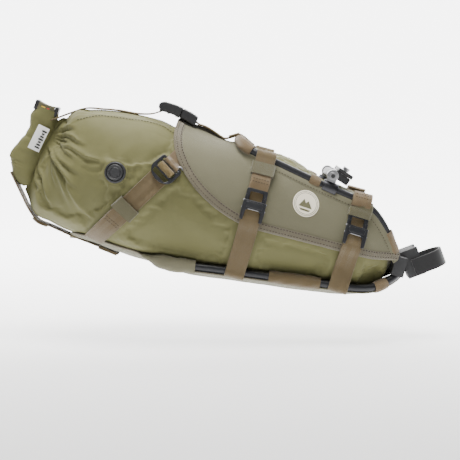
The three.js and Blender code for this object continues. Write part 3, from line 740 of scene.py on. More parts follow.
# Folds in the row's own upright plane, in millimetres: forward and up from the rail clamp.
# Each is its line, its height and its width.
FOLDS = [
    ([(-376, 40), (-367, 25), (-357, 10), (-349, -2), (-343, -8), (-334, -15)], 6.4, 3.2),
    ([(-371, 48), (-360, 44), (-345, 41), (-330, 33), (-318, 26), (-300, 22)], 2.6, 4.2),
    ([(-369, 52), (-357, 57), (-346, 55), (-332, 47), (-322, 44)], 3.6, 3.0),
    ([(-370, 54), (-361, 62), (-350, 66), (-338, 66)], 3.8, 2.4),
    ([(-370, 56), (-365, 68), (-356, 76), (-345, 80)], 3.4, 2.9),
    ([(-369, 50), (-359, 50), (-350, 48)], 3.2, 1.9),
    ([(-382, 32), (-385, 13), (-382, -10), (-373, -36), (-364, -50)], 4.8, 3.2),
    ([(-386, 24), (-391, 3), (-389, -17), (-379, -36)], 3.8, 2.6),
    ([(-372, 42), (-366, 18), (-356, -8), (-342, -36), (-326, -56)], 3.0, 5.0),
    ([(-349, 0), (-341, -20), (-327, -44), (-309, -60)], 3.2, 4.8),
    ([(-330, 20), (-312, 14), (-302, 20), (-290, 27), (-276, 26)], 1.3, 3.6),
    ([(-325, 32), (-306, 24), (-296, 12), (-290, -4)], 2.2, 4.6),
    ([(-372, 40), (-359, 24), (-343, 12), (-326, 4)], 3.0, 3.2),
    ([(-374, 38), (-372, 20), (-369, 0), (-360, -24)], 3.0, 2.4),
    ([(-368, 46), (-352, 34), (-338, 22)], 2.8, 2.2),
]


def fold_height(x, z, side):
    """How far the folds lift the cloth at points of the upright plane."""
    height = np.zeros_like(x)
    for k, (line, tall, wide) in enumerate(FOLDS):
        path = smooth_path(line, 1.5)
        if side < 0:
            path = path + np.array([2.5 * math.sin(k * 1.7), 3.0 * math.cos(k * 2.3)])
        share = lengths(path) / lengths(path)[-1]
        path = path - np.outer(1 - share, [7.0, 1.0])
        t = tangents(path)
        near = (x > path[:, 0].min() - 4 * wide) & (x < path[:, 0].max() + 4 * wide)
        near &= (z > path[:, 1].min() - 4 * wide) & (z < path[:, 1].max() + 4 * wide)
        px, pz = x[near], z[near]
        d = np.hypot(px[:, None] - path[None, :, 0], pz[:, None] - path[None, :, 1])
        i = d.argmin(1)
        cross = (px - path[i, 0]) * t[i, 1] - (pz - path[i, 1]) * t[i, 0]
        signed = np.sign(cross) * d.min(1)
        along = share[i]
        fade = smoothstep(0, 0.12, along) * (1 - smoothstep(0.5, 1.0, along))
        w = wide * (0.5 + 0.9 * along)
        valley = 0.7 * np.exp(-(((signed - 1.35 * w) / (0.8 * w)) ** 2))
        profile = np.exp(-np.abs(signed / w) ** 1.25) - valley
        height[near] += tall * fade * profile
    return height


def line_distance(s, t, a, b):
    """Distance in the pack's upright plane from a straight line between two places."""
    a, b = np.array(a, float), np.array(b, float)
    d = b - a
    k = np.clip(((s - a[0]) * d[0] + (t - a[1]) * d[1]) / d.dot(d), 0, 1)
    return np.hypot(s - a[0] - k * d[0], t - a[1] - k * d[1])


SWEEP_FROM, SWEEP_LENGTH, DROP, SWEEP_POWER = -95.0, 128.0, 91.0, 1.7


def panel_edge(s):
    share = np.clip((SWEEP_FROM - s) / SWEEP_LENGTH, 0, 1)
    return -DROP * (1 - share**SWEEP_POWER) ** (1 / SWEEP_POWER)


FOOT, DEE, HOOK = (-279, -143.5), (-221, -50), (-204, -20)
STATIONS = {"middle": -104.0, "front": 27.0}
VALVE_AT = (-280, -68)


def covered(points):
    """From 1 where canvas or straps hold the bag down to 0 where it is free."""
    s, y, t = points[..., 0], np.abs(points[..., 1]), points[..., 2]
    edge = panel_edge(s)
    canvas = np.where(s > SWEEP_FROM - SWEEP_LENGTH, 1 - smoothstep(0, 14, edge - t), 0)
    canvas *= smoothstep(-228, -214, s)
    canvas = np.where((s > -122) & (y < 52) & (t > -40), 0.25, canvas)
    low = 1 - smoothstep(14, 24, line_distance(s, t, FOOT, DEE))
    hold = np.maximum(canvas, low)
    for at in STATIONS.values():
        hold = np.maximum(hold, np.where(t < -60, 1 - smoothstep(13, 24, np.abs(s - at)), 0))
    _, middle, rise = section(s)
    sling = 1 - smoothstep(0.1, 0.35, (t - (middle - rise)) / rise)
    valve = 1 - smoothstep(13, 20, np.hypot(s - VALVE_AT[0], t - VALVE_AT[1]))
    return np.clip(np.maximum.reduce([hold, sling * 0.9, valve]), 0, 1)


def bulge(points):
    """Where the loaded bag swells between the things that hold it."""
    s, t = points[..., 0], points[..., 2]
    under = panel_edge(s) - t
    low = 3.0 * smoothstep(4, 22, under) * (1 - smoothstep(34, 62, under))
    low *= smoothstep(-225, -190, s) * (1 - smoothstep(40, 75, s))
    strap_gap = line_distance(s, t, FOOT, DEE)
    rear = 2.2 * smoothstep(18, 34, strap_gap) * (1 - smoothstep(46, 95, strap_gap))
    rear *= 1 - smoothstep(-225, -190, s)
    _, middle, rise = section(s)
    crown = 5.5 * smoothstep(0.45, 0.95, (t - middle) / rise) * smoothstep(-372, -345, s)
    rear += crown * (1 - smoothstep(-250, -214, s))
    for at in STATIONS.values():
        low *= smoothstep(12, 26, np.abs(s - at)) * 0.55 + 0.45
    return low + rear


def bag_grid(rows, cols, detail=True):
    """Skin points, rear to front, with folds and swelling."""
    fine = np.linspace(-386, 88, 4000)
    half, middle, rise = section(fine)
    step = np.hypot(np.gradient(fine), np.hypot(np.gradient(half), 0.6 * np.gradient(middle + rise)))
    total = np.cumsum(step)
    s = np.interp(np.linspace(total[0], total[-1], rows), total, fine)
    a = (np.arange(cols) + 0.5) / cols * 2 * math.pi - math.pi / 2
    grid, out = on_bag(s[:, None], a[None, :], np.zeros((rows, cols)))
    hold = covered(grid)
    up = world(grid) / MM
    side = grid[..., 1] < 0
    right, left = (fold_height(up[..., 0], up[..., 2], sign) for sign in (1, -1))
    folds = np.where(side, right, left)
    flank = smoothstep(0.05, 0.45, np.abs(np.cos(a)))[None, :]
    near = np.hypot(up[..., 0] - PINCH[0], up[..., 2] - PINCH[1])
    pinch = -7.5 * np.exp(-((near / 17) ** 2)) * flank
    lumps = 1.6 * noise(grid, 48, 3) + 0.8 * noise(grid, 21, 4)
    lumps += 0.35 * noise(grid * [1, 1, 0.6], 8, 5)
    lumps *= 0.35 + 0.65 * smoothstep(0.0, 1.0, np.abs(np.cos(a)))[None, :] ** 0.5
    lift = (folds * flank + pinch + lumps * 0.8 + bulge(grid)) * (1 - hold)
    valve = np.hypot(grid[..., 0] - VALVE_AT[0], grid[..., 2] - VALVE_AT[1])
    turn = np.arctan2(grid[..., 2] - VALVE_AT[1], grid[..., 0] - VALVE_AT[0])
    pucker = smoothstep(13, 17, valve) * (1 - smoothstep(22, 42, valve)) * (grid[..., 1] < 0)
    lift += 0.55 * pucker * np.sin(turn * 9 + 2 * np.sin(turn * 2))
    if detail:
        seam = np.abs(np.abs(grid[..., 1]) - 33)
        top = (grid[..., 2] > -40) & (grid[..., 0] < -205)
        lift += np.where(top, 0.55 * (1 - smoothstep(3.4, 4.4, seam)), 0)
    ends = smoothstep(-386, -372, s)[:, None] * (1 - smoothstep(78, 88, s)[:, None])
    return grid + out * (lift * (0.15 + 0.85 * ends))[..., None], out, hold


# The simulation's scale, its frames, and the furthest it may move the cloth, in millimetres
PUFF_SCALE, PUFF_FRAMES, PUFF_LIMIT = 0.01, 18, 6.5


def puff(grid, hold):
    """Swells a coarse copy of the bag as cloth under pressure and returns how its points moved."""
    rows, cols = grid.shape[:2]
    parts = Parts().loft(grid)
    mesh = bpy.data.meshes.new("puff")
    mesh.from_pydata((np.concatenate(parts.verts) * PUFF_SCALE).tolist(), [], parts.faces)
    obj = bpy.data.objects.new("puff", mesh)
    bpy.context.scene.collection.objects.link(obj)
    group = obj.vertex_groups.new(name="held")
    for i, w in enumerate(hold.ravel()):
        if w > 0.02:
            group.add([i], float(w), "REPLACE")
    cloth = obj.modifiers.new("cloth", "CLOTH")
    settings = cloth.settings
    settings.quality = 6
    settings.mass = 0.3
    settings.tension_stiffness = settings.compression_stiffness = 25
    settings.shear_stiffness = 12
    settings.bending_stiffness = 0.4
    settings.use_pressure = True
    settings.uniform_pressure_force = 3.0
    settings.shrink_min = -0.035
    settings.vertex_group_mass = "held"
    settings.pin_stiffness = 4
    settings.effector_weights.gravity = 0
    cloth.collision_settings.use_collision = False
    cloth.point_cache.frame_start, cloth.point_cache.frame_end = 1, PUFF_FRAMES
    scene = bpy.context.scene
    for k in range(1, PUFF_FRAMES + 1):
        scene.frame_set(k)
    graph = bpy.context.evaluated_depsgraph_get()
    made = obj.evaluated_get(graph).to_mesh()
    co = np.empty(len(made.vertices) * 3)
    made.vertices.foreach_get("co", co)
    obj.evaluated_get(graph).to_mesh_clear()
    bpy.data.objects.remove(obj)
    scene.frame_set(1)
    return co.reshape(rows, cols, 3) / PUFF_SCALE - grid


def enlarged(field, rows, cols):
    """Spreads a coarse grid's values over a finer one, closed round its columns."""
    r = np.linspace(0, field.shape[0] - 1, rows)
    c = (np.arange(cols) + 0.5) / cols * field.shape[1] - 0.5
    r0 = np.clip(np.floor(r).astype(int), 0, field.shape[0] - 2)
    fr = (r - r0)[:, None, None]
    c0 = np.floor(c).astype(int)
    fc = (c - c0)[None, :, None]
    c0, c1 = c0 % field.shape[1], (c0 + 1) % field.shape[1]
    low = field[r0][:, c0] * (1 - fc) + field[r0][:, c1] * fc
    high = field[r0 + 1][:, c0] * (1 - fc) + field[r0 + 1][:, c1] * fc
    return low * (1 - fr) + high * fr


def make_bag():
    grid, out, hold = bag_grid(BAG_ROWS, BAG_COLS)
    coarse, _, held = bag_grid(120, 112, detail=False)
    ends = np.linspace(0, 1, 120)[:, None]
    held = np.maximum(held, 1 - smoothstep(0.0, 0.06, ends))
    held = np.maximum(held, smoothstep(0.96, 1.0, ends))
    moved = puff(coarse, held)
    size = np.linalg.norm(moved, axis=-1, keepdims=True)
    moved *= np.minimum(1, PUFF_LIMIT / np.maximum(size, 1e-6))
    grid = grid + enlarged(moved * (1 - held[..., None]), BAG_ROWS, BAG_COLS)
    tip = grid[-1].mean(0)
    steps = ((0.8, 1.2), (0.5, 2.2), (0.2, 2.6))
    nose = [tip + (grid[-1] - tip) * k + np.array([ahead, 0, 0]) for k, ahead in steps]
    rings = np.concatenate([grid, np.array(nose)])
    bag = piece("dry_bag_shell", Parts().loft(rings), NYLON, "harness", ["dry_bag"], 0)
    seam = Parts()
    for side in (-1, 1):
        row = [k for k in range(BAG_ROWS) if -352 < grid[k, :, 0].mean() < -212]
        line, outs = [], []
        for k in row:
            top = np.where(grid[k, :, 2] > grid[k, :, 2].mean(), np.abs(grid[k, :, 1] - side * 35), 1e9)
            c = int(np.argmin(top))
            line.append(grid[k, c])
            outs.append(out[k, c])
        line, outs = np.array(line), np.array(outs)
        for _ in range(4):
            line[1:-1] = (line[:-2] + 2 * line[1:-1] + line[2:]) / 4
        stitches(seam, line + outs * 0.35, outs, 2.4, 1.5, 0.42)
    piece("shoulder_seam_stitching", seam, THREAD)
    return grid[:, BAG_COLS // 2], grid[:, 0]


# --- Rolled closure, its stiffener ends, tape and label, drawn in the roll's own frame

ROLL_FOOT, ROLL_LENGTH, ROLL_TILT = (-401.5, 0, -119.5), 103.0, math.radians(6.0)
# How the roll's middle and half depth change from its foot to its top
SWAY = ((0, 15, 32, 50, 70, 90, 103), (5, -1.5, -4.5, -2.5, 0.5, 0.8, 0))
GIRTH = ((0, 5, 13, 32, 50, 70, 88, 103), (9.5, 13.5, 16.5, 20.6, 18.6, 17.6, 18.0, 16.0))


def leant_roll(vectors):
    return leant(vectors, ROLL_TILT)


def from_roll(points):
    return leant(points, ROLL_TILT) + ROLL_FOOT


def sway(h):
    return hermite(np.asarray(h, float), *SWAY)


def roll_rings():
    """Layers of cloth wound flat: each ring is one height's spiral, outer layer last."""
    heights = np.concatenate([np.linspace(0, 8, 10), np.linspace(9.2, ROLL_LENGTH, 78)])
    turns, steps = 3.1, 200
    w = np.linspace(0, 1, steps)
    angle = w * turns * 2 * math.pi + 0.4
    power = 2 / 2.5
    bx = np.sign(np.cos(angle)) * np.abs(np.cos(angle)) ** power
    by = np.sign(np.sin(angle)) * np.abs(np.sin(angle)) ** power
    rings = []
    for h in heights:
        foot = math.sqrt(max(1 - (1 - min(h / 10.0, 1)) ** 2, 0)) * 0.6 + 0.4
        outer = float(hermite(np.float64(h), *GIRTH))
        deep, wide = outer * (0.42 + 0.58 * w), (4.6 + 9.8 * w)
        x, y = deep * bx * foot, wide * by * foot
        place_noise = xyz(x, y, h)
        wave = 1.5 * noise(place_noise, 19, 21) + 0.9 * noise(place_noise * [1, 1, 1.6], 9, 22)
        wave += 1.7 * math.sin(h / 5.4 + 2.3 * math.sin(h / 17)) * np.clip(-bx, 0, 1) ** 1.5
        low_crease = math.exp(-(((h - 24 - 2 * math.sin(h)) / 2.6) ** 2))
        crease = low_crease + 0.7 * math.exp(-(((h - 61) / 3.0) ** 2))
        wave -= 1.9 * crease * np.clip(0.35 - bx, 0, 1)
        k = 1 + (0.25 + 0.75 * w) * wave / 17
        up = h + 0.8 * w * noise(place_noise, 13, 23)
        rings.append(xyz(x * k + sway(h), y * k, up))
    return np.array(rings)


def make_roll():
    rings = roll_rings()
    across = np.gradient(rings, axis=1)
    up = np.gradient(rings, axis=0)
    out = unit(np.cross(across, up))
    radial = (rings - rings.mean(1, keepdims=True)) * [1, 1, 0]
    out *= np.sign(np.sum(out * radial, -1).mean())
    parts = Parts().shell(from_roll(rings), leant_roll(out), 0.45, -0.45)
    piece("rolled_mouth", parts, NYLON, "harness", ["rolled_closure"], 50)
    core = Parts()
    for x in (-13.2, 13.2):
        outline = box(x - 2.6, -10.5, x + 2.6, 10.5, 2.2)
        m = np.eye(4)
        plate(core, [outline], ROLL_LENGTH - 6, ROLL_LENGTH + 6.5, 1.1, m)
    core.verts = [from_roll(v) for v in core.verts]
    piece("stiffener_bar_ends", core, PLASTIC, "harness", ["closure_clip_top"])
    foot = Parts()
    outline = box(-1, -4, 8, 4, 2.5)
    plate(foot, [outline], -1.4, 3.0, 1.0, np.eye(4))
    foot.verts = [from_roll(v) for v in foot.verts]
    piece("stiffener_foot", foot, PLASTIC, "harness", ["closure_clip_bottom"])
    tape = Parts()
    x = np.linspace(-11, 11, 24)
    sag = 1.2 * np.sin((x + 11) / 22 * math.pi)
    path = xyz(x, 0, ROLL_LENGTH + 5.2 - sag)
    strap(tape, from_roll(path), leant_roll(np.tile([0, 0, 1.0], (24, 1))), 19, 1.0)
    drop = xyz(x, -10.4, ROLL_LENGTH + 0.6 - sag * 0.6)
    strap(tape, from_roll(drop), leant_roll(np.tile([0, -1.0, 0], (24, 1))), 9.5, 0.9)
    piece("roll_end_tape", tape, ELASTIC)
    for name, a, b, colour in (("yellow", -6.5, -1.0, YELLOW), ("red", 1.0, 4.5, RED)):
        mark = Parts()
        p = xyz(np.linspace(a, b, 6), -10.9, ROLL_LENGTH - 0.6)
        strap(mark, from_roll(p), leant_roll(np.tile([0, -1.0, 0], (6, 1))), 3.8, 0.6)
        piece(f"{name}_stitch_mark", mark, colour)
    make_label()


def make_label():
    label = Parts()
    t = np.linspace(0, 1, 16)
    lean = np.array([0.1, 0, 0.995])
    start = np.array([3.6, -16.4, 48.0])
    path = start + t[:, None] * lean * 33 + xyz(0, -1.3 * np.sin(t * math.pi), 0)
    strap(label, from_roll(path), leant_roll(np.tile([0.12, -1.0, 0], (16, 1))), 15.5, 0.6)
    piece("blank_care_label", label, LABEL)
    bars = Parts()
    for k, share in enumerate(np.linspace(0.14, 0.86, 7)):
        centre = start + share * lean * 31 + np.array([3.0, -1.3 * math.sin(share * math.pi) - 0.45, 0.4])
        side = unit(np.array([0.99, 0.12, -0.1]))
        reach = 3.2 - 0.7 * (k % 3)
        p = centre + np.linspace(-reach, reach, 6)[:, None] * side
        strap(bars, from_roll(p), leant_roll(np.tile([0.12, -1.0, 0], (6, 1))), 1.1, 0.25)
    piece("label_bars", bars, PRINT)


# --- Canvas: side panels taut between the bag and the top tube, and the sling under the bag

CANVAS_LIFT, SLING_LIFT = 1.9, 1.6
TENT = 7.0  # how far the top strap's buckle pulls the canvas up over the bag
HEM_REACH, HEM_END = 6.3, 92.5  # the hem's distance from the tube's middle, and its front end


def relax(grid, lift, rounds=500):
    """Pulls a sheet taut between its edges while the bag holds it out."""
    g = grid.copy()
    for _ in range(rounds):
        middle = (g[:-2, 1:-1] + g[2:, 1:-1] + g[1:-1, :-2] + g[1:-1, 2:]) / 4
        g[1:-1, 1:-1] = push_out(middle, lift)
    return g


def tube_edge(path, reach, out=0.75, down=0.66):
    """Points on a tube's lower outer side, where canvas is sewn round it."""
    t = tangents(path)
    side = xyz(t[:, 1], -t[:, 0], 0)
    side = unit(side) * np.sign(np.sum(side * (path - np.array([-20, 0, 0])) * [1, 1, 0], -1))[:, None]
    d = side * out + np.array([0, 0, -down])
    d = unit(d - t * np.sum(d * t, -1, keepdims=True))
    return path + d * reach


def coons(lower, upper, rear, front, u_count, v_count):
    u, v = np.linspace(0, 1, u_count)[:, None, None], np.linspace(0, 1, v_count)[None, :, None]
    lo, up = resample(lower, count=u_count)[:, None], resample(upper, count=u_count)[:, None]
    re, fr = resample(rear, count=v_count)[None], resample(front, count=v_count)[None]
    ruled = (1 - v) * lo + v * up + (1 - u) * re + u * fr
    low_corners = (1 - u) * lo[0, 0] + u * lo[-1, 0]
    high_corners = (1 - u) * up[0, 0] + u * up[-1, 0]
    return ruled - (1 - v) * low_corners - v * high_corners


def panel_edges():
    """The right panel's four sides, its whole free edge and its line along the tube."""
    turn = np.radians(np.linspace(0, 90, 90))
    s = SWEEP_FROM - SWEEP_LENGTH * np.sin(turn) ** (2 / SWEEP_POWER)
    t = -DROP * np.cos(turn) ** (2 / SWEEP_POWER)
    a = angle_at(s, t)
    over = np.linspace(a[-1], math.pi / 2, 24)[1:]
    raised = np.concatenate([np.zeros(86), smoothstep(0, 27, np.arange(27.0))])
    s, a = np.concatenate([s, np.full(23, s[-1])]), np.concatenate([a, over])
    sweep, _ = on_bag(s, a, CANVAS_LIFT + TENT * raised)
    line = tube_edge(UPPER_RIGHT, HEM_REACH)[UPPER_RIGHT[:, 0] <= HEM_END]
    flat = np.linspace(SWEEP_FROM, 58, 60)[1:]
    straight, _ = at_height(flat, -DROP, CANVAS_LIFT)
    ahead = straight[-1] + (line[-1] - straight[-1]) * np.linspace(0, 1, 14)[1:, None]
    low = np.concatenate([sweep[:90][::-1], straight, ahead])
    split = 34
    rear = np.concatenate([low[:split + 1][::-1], sweep[90:]])
    top_s = np.linspace(SWEEP_FROM - SWEEP_LENGTH, -150, 40)
    ridge, _ = on_bag(top_s, math.pi / 2, CANVAS_LIFT + TENT * smoothstep(-155, -190, top_s))
    bend = np.argmin(np.hypot(line[:, 0] - 52, line[:, 2] + 42))
    upper = np.concatenate([ridge, line[: bend + 1]])
    front = line[bend:][::-1]
    return low[split:], upper, rear, front, np.concatenate([rear[::-1], low[split + 1:]]), line


# Cross-sections of the tape round the panel's free edge and of the hem: inward from the edge, and outward
BINDING_SHAPE = (
    (9.6, 0.7), (9.4, 1.35), (6, 1.55), (2, 1.6), (0.2, 1.35), (-1.2, 0.3), (-1.1, -0.7), (0.4, -1.3),
    (6, -1.25),
)
HEM_SHAPE = ((7.0, 0.55), (6.8, 1.1), (4, 1.25), (0.6, 1.2), (-1.4, 0.5), (-1.4, -0.6), (1, -0.8), (6, -0.7))


def hem_lines(grid, out, path):
    """The panel's normals along an edge, and its lines at a distance inward and outward from it."""
    normal = nearest(grid, out, path)
    inward = unit(np.cross(normal, tangents(path)))
    inward *= np.sign(np.sum(inward * (grid[len(grid) // 2, 40] - path), -1))[:, None]
    return normal, lambda x, h: path + inward * x + normal * h


def edge_band(path, at, shape):
    """A closed band along an edge, from its cross-section."""
    rings = np.stack([at(x, h) for x, h in shape], 1)
    return Parts().loft(rings, uv=band_uv(path, [shape[0][0] - x for x, _ in shape]))


def make_panels():
    lower, upper, rear, front, free, line = panel_edges()
    grid = relax(coons(lower, upper, rear, front, 190, 84), CANVAS_LIFT)
    out = outward(grid, np.array([-60, 0, -80.0]))
    ripple = 0.35 * noise(grid, 34, 31) + 0.12 * noise(grid, 9, 32)
    grid = grid + out * ripple[..., None]
    panel = Parts().shell(grid, out, 0.65, -0.65)
    pair("side_canvas", panel, CANVAS, "harness", ["{side}_side_panel"], 50)
    bpy.data.objects["left_side_canvas"]["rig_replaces"] = ["left_side_panel"]
    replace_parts(bpy.data.objects["left_side_canvas"], "top_cover")
    thread = Parts()
    free = resample(free, 2.0)
    normal, at = hem_lines(grid, out, free)

    def on_skin(x, h):
        return push_out(at(x, 0), CANVAS_LIFT) + normal * h

    pair("edge_binding", edge_band(free, on_skin, BINDING_SHAPE), BINDING, sharp=60)
    for x, thick in ((2.6, 0.36), (8.0, 0.5)):
        stitches(thread, on_skin(x, 1.55), normal, 2.3, 1.6, thick)
    hem = resample(line[line[:, 0] > -112], 2.0)
    hem_normal, at_hem = hem_lines(grid, out, hem)
    pair("tube_hem", edge_band(hem, at_hem, HEM_SHAPE), CANVAS, sharp=60)
    stitches(thread, at_hem(5.4, 1.2), hem_normal, 2.3, 1.7, 0.36)
    pair("panel_stitching", thread, THREAD, sharp=60)
    return grid, out


def band_uv(path, across):
    u, v = np.meshgrid(across, lengths(path))
    return xyz(u, v).reshape(-1, 2)


def nearest(grid, values, points):
    flat, vals = grid.reshape(-1, 3), values.reshape(-1, 3)
    picked = np.array([vals[np.argmin(((flat - p) ** 2).sum(1))] for p in points])
    for _ in range(3):
        picked[1:-1] = (picked[:-2] + picked[1:-1] * 2 + picked[2:]) / 4
    return unit(picked)


def make_badge(grid, out):
    """A plain round badge with a generic hill motif, laid on the right panel."""
    m = flank_frame(-41.4, -46.1, CANVAS_LIFT)
    drape = lambda points: on_panel(grid, out, m, points)
    disc, motif = Parts(), Parts()
    a = circle(72)
    rings = []
    for r, h in ((17.1, 0.0), (17.1, 0.35), (16.7, 0.45), (12, 0.5), (6, 0.5), (1, 0.5)):
        rings.append(xyz(r * np.cos(a), r * np.sin(a), h))
    disc.loft([drape(ring) for ring in rings])
    for r in (13.6, 15.4):
        inner, outer = (xyz(k * np.cos(a), k * np.sin(a), 0.62) for k in (r - 0.25, r + 0.25))
        low_in, low_out = inner - [0, 0, 0.3], outer - [0, 0, 0.3]
        motif.loft([drape(q) for q in (low_in, inner, outer, low_out, low_in)], caps=False)
    hills = [
        [(-9, -5), (-3.4, 5.5), (-0.4, 0.6), (2.6, 4.0), (9, -5)],
        [(-7.6, -7.2), (7.6, -7.2), (5.4, -9.6), (-5.4, -9.6)],
    ]
    for shape in hills:
        ring = resample(np.array([*shape, shape[0]], float), count=49)[:-1]
        low = xyz(*ring.T, 0.4)
        middle = low * [0.02, 0.02, 1] + [*ring.mean(0), 0.22]
        motif.loft([drape(low), drape(low + [0, 0, 0.22]), drape(middle)])
    piece("round_badge", disc, BADGE)
    piece("badge_motif", motif, MOTIF)


def on_panel(grid, out, m, points):
    """Lays points drawn in a flat frame onto the right panel, keeping their height."""
    points = np.asarray(points, float)
    flat = place(m, points * [1, 1, 0])
    near = np.abs(grid[..., 0] - m[0, 3]) + np.abs(grid[..., 2] - m[2, 3]) < 60
    skin, normals = grid[near], out[near]
    gap = np.hypot(skin[None, :, 0] - flat[:, None, 0], skin[None, :, 2] - flat[:, None, 2])
    pick = np.argpartition(gap, 6, axis=1)[:, :6]
    weight = 1 / (np.take_along_axis(gap, pick, 1) + 0.05) ** 2
    weight /= weight.sum(1, keepdims=True)
    base = (skin[pick] * weight[..., None]).sum(1)
    n = unit((normals[pick] * weight[..., None]).sum(1))
    base[:, 0], base[:, 2] = flat[:, 0], flat[:, 2]
    return base + n * (points[:, 2:3] + 0.65)


def make_sling():
    along, reach = (-318, -312, -300, -280, -255, -232), (9, 18, 24, 27, 28.5, 30)
    s = np.linspace(-318, -232, 56)
    edge, _ = on_bag(s, hermite(s, along, np.radians(reach)) - math.pi / 2, SLING_LIFT)
    front = tube_edge(LOWER_RIGHT, 6.2, 0.35, 0.94)[LOWER_RIGHT[:, 0] > -196]
    right = resample(np.concatenate([edge, front]), count=200)
    v = np.linspace(-1, 1, 57)
    arch = 1 - v**2
    sag = 8 * arch
    grid = np.array([xyz(x, y * -v, z - sag * smoothstep(112, 40, x)) for x, y, z in right])[:, ::-1]
    grid = relax(push_out(grid, SLING_LIFT), SLING_LIFT, 260)
    s = grid[..., 0]
    grid[..., 2] -= 4.5 * arch * smoothstep(-215, -150, s) * smoothstep(108, 60, s)
    out = outward(grid, np.array([-60, 0, 0.0]))
    ripple = 0.5 * noise(grid, 30, 41) + 0.2 * noise(grid, 10, 42)
    grid = grid + out * ripple[..., None]
    cloth = Parts().shell(grid, out, 0.7, -0.7)
    sling = piece("bag_sling", cloth, SLING, "harness", ["bottom_panel"], 50)
    piping = Parts()
    for col in (0, -1):
        line = resample(grid[6:112, col] + out[6:112, col] * 0.4, 2.0)
        tube(piping, line, 1.25, 10)
    trim = piece("sling_piping", piping, BINDING)


SLEEVES = {
    "top_rear": (UPPER_RIGHT, -130, -117, 6.9, LOOP), "top_middle": (UPPER_RIGHT, -45, -28, 7.0, LOOP),
    "front_leg": (UPPER_RIGHT, 67, 88, 6.9, LOOP), "bottom_middle": (LOWER_RIGHT, -63, 6, 7.4, WEB),
    "bottom_rear": (LOWER_RIGHT, -191, -147, 8.4, SLING), "front_low": (LOWER_RIGHT, 71, 86, 6.8, LOOP),
}


def make_sleeves():
    for name, (path, start, end, radius, material) in SLEEVES.items():
        line = along_tube(path, start, end)
        if name == "front_leg":
            line = along_tube(path[path[:, 0] > 60], 68, 87)
        if name == "top_rear":
            line = resample(path[(path[:, 0] < -121) & (path[:, 1] < -13.5)], 1.5)
        ease = 1
        if name == "bottom_rear":
            line = line if line[0, 0] < line[-1, 0] else line[::-1]
            line = smooth_path(np.vstack([[(-222, -43, -163.5), (-208, -48, -164)], line[6::6]]), 1.5)
            ease = 0.3 + 0.7 * smoothstep(0, 30, lengths(line))
        share = np.linspace(0, 1, len(line))
        swell = (1 + 0.05 * noise(line * 1.0, 6, 51) + 0.05 * np.sin(share * math.pi)) * ease
        t = tangents(line)
        n = unit(np.array([0, 0, 1.0]) - t * t[:, 2:3])
        a = circle(40)
        spokes = np.cos(a)[:, None] * n[:, None] + np.sin(a)[:, None] * np.cross(t, n)[:, None]
        rings = []
        drop = 1 + 0.14 * np.clip(-np.cos(a), 0, 1)
        for scale, wobble, step in ((1.0, 0.025, 1), (0.86, 0, -1)):
            for i in range(len(line))[::step]:
                r = radius * scale * swell[i] * (1 + wobble * np.sin(3 * a + i * 0.4)) * drop
                rings.append(line[i] + spokes[i] * r[:, None])
        parts = Parts().loft([*rings, rings[0]], caps=False)
        replaced = [] if name == "front_low" else ["{side}_" + name + "_sleeve"]
        pair(f"{name}_canvas_sleeve", parts, material, "harness", replaced)


# --- Webbing straps and their hooks

HOOK_HEIGHT, HOOK_LIFT, HOOK_THICK = -57.0, 4.1, 3.0
HOOK_TOP = 18.0  # from the end of the upper strap to the top of its hook
UPPER_WRAP, LOWER_WRAP = 8.2, 8.1  # how far the straps lie from the middle of the tubes they go round


def tube_at(path, s):
    side = path[path[:, 2] > -60] if path is UPPER_RIGHT else path
    i = np.argmin(np.abs(side[:, 0] - s))
    return side[i]


def wrapped(s, centre, reach, degrees):
    """Points round a tube; 0 is its outer side and 90 its top."""
    a = np.radians(degrees)
    return xyz(s, centre[1] - reach * np.cos(a), centre[2] + reach * np.sin(a))


def upper_strap_path(s, m):
    """From over the top tube down the flank to the hook frame; width runs along the bag."""
    centre = tube_at(UPPER_RIGHT, s)
    wrap = wrapped(s, centre, UPPER_WRAP, (186, 165, 140, 115, 90, 65, 40, 20, 6))
    end = place(m, [[0, 24, 1.6], [0, 17, 0.9], [0, 12.5, -0.2], [0, 6, -0.9], [0, -5, -0.9]])
    low = wrap[-1]
    between = []
    for share in (0.4, 0.75):
        p = low + (end[0] - low) * share
        skin, _ = at_height(np.float64(s), p[2], CANVAS_LIFT + 2.4)
        between.append([s, min(p[1], skin[1]), p[2]])
    return smooth_path(np.vstack([wrap, between, end]), 1.6)


def strap_outs(path, width):
    return unit(np.cross(width, tangents(path)))


def turning_outs(path, m, share):
    """A side strap lies square to the tube at one end and in line with its hook at the other."""
    k = share[:, None]
    return strap_outs(path, unit(np.array([-1.0, 0, 0]) * (1 - k) - m[:3, 0] * k))


def band_round(parts, path, outs, width, depth, thick=1.1):
    """An elastic keeper: a closed band round a strap, following it a short way."""
    t = tangents(path)
    side = unit(np.cross(t, outs))
    out = unit(np.cross(side, t))
    w, d = width / 2, depth / 2
    outline = box(-w, -d, w, d, min(d * 0.9, 2.4), 6)
    inner = outline * [(w - thick) / w, (d - thick) / d]
    share = np.linspace(-1, 1, len(path))
    rings = []
    for shape, order in ((outline, range(len(path))), (inner, range(len(path) - 1, -1, -1))):
        for i in order:
            flare = 1 + 0.03 * share[i] ** 2 * np.sign(-share[i]) + 0.02
            rings.append(path[i] + side[i] * (shape[:, :1] * flare) + out[i] * shape[:, 1:])
    rings.append(rings[0])
    return parts.loft(np.array(rings), caps=False)


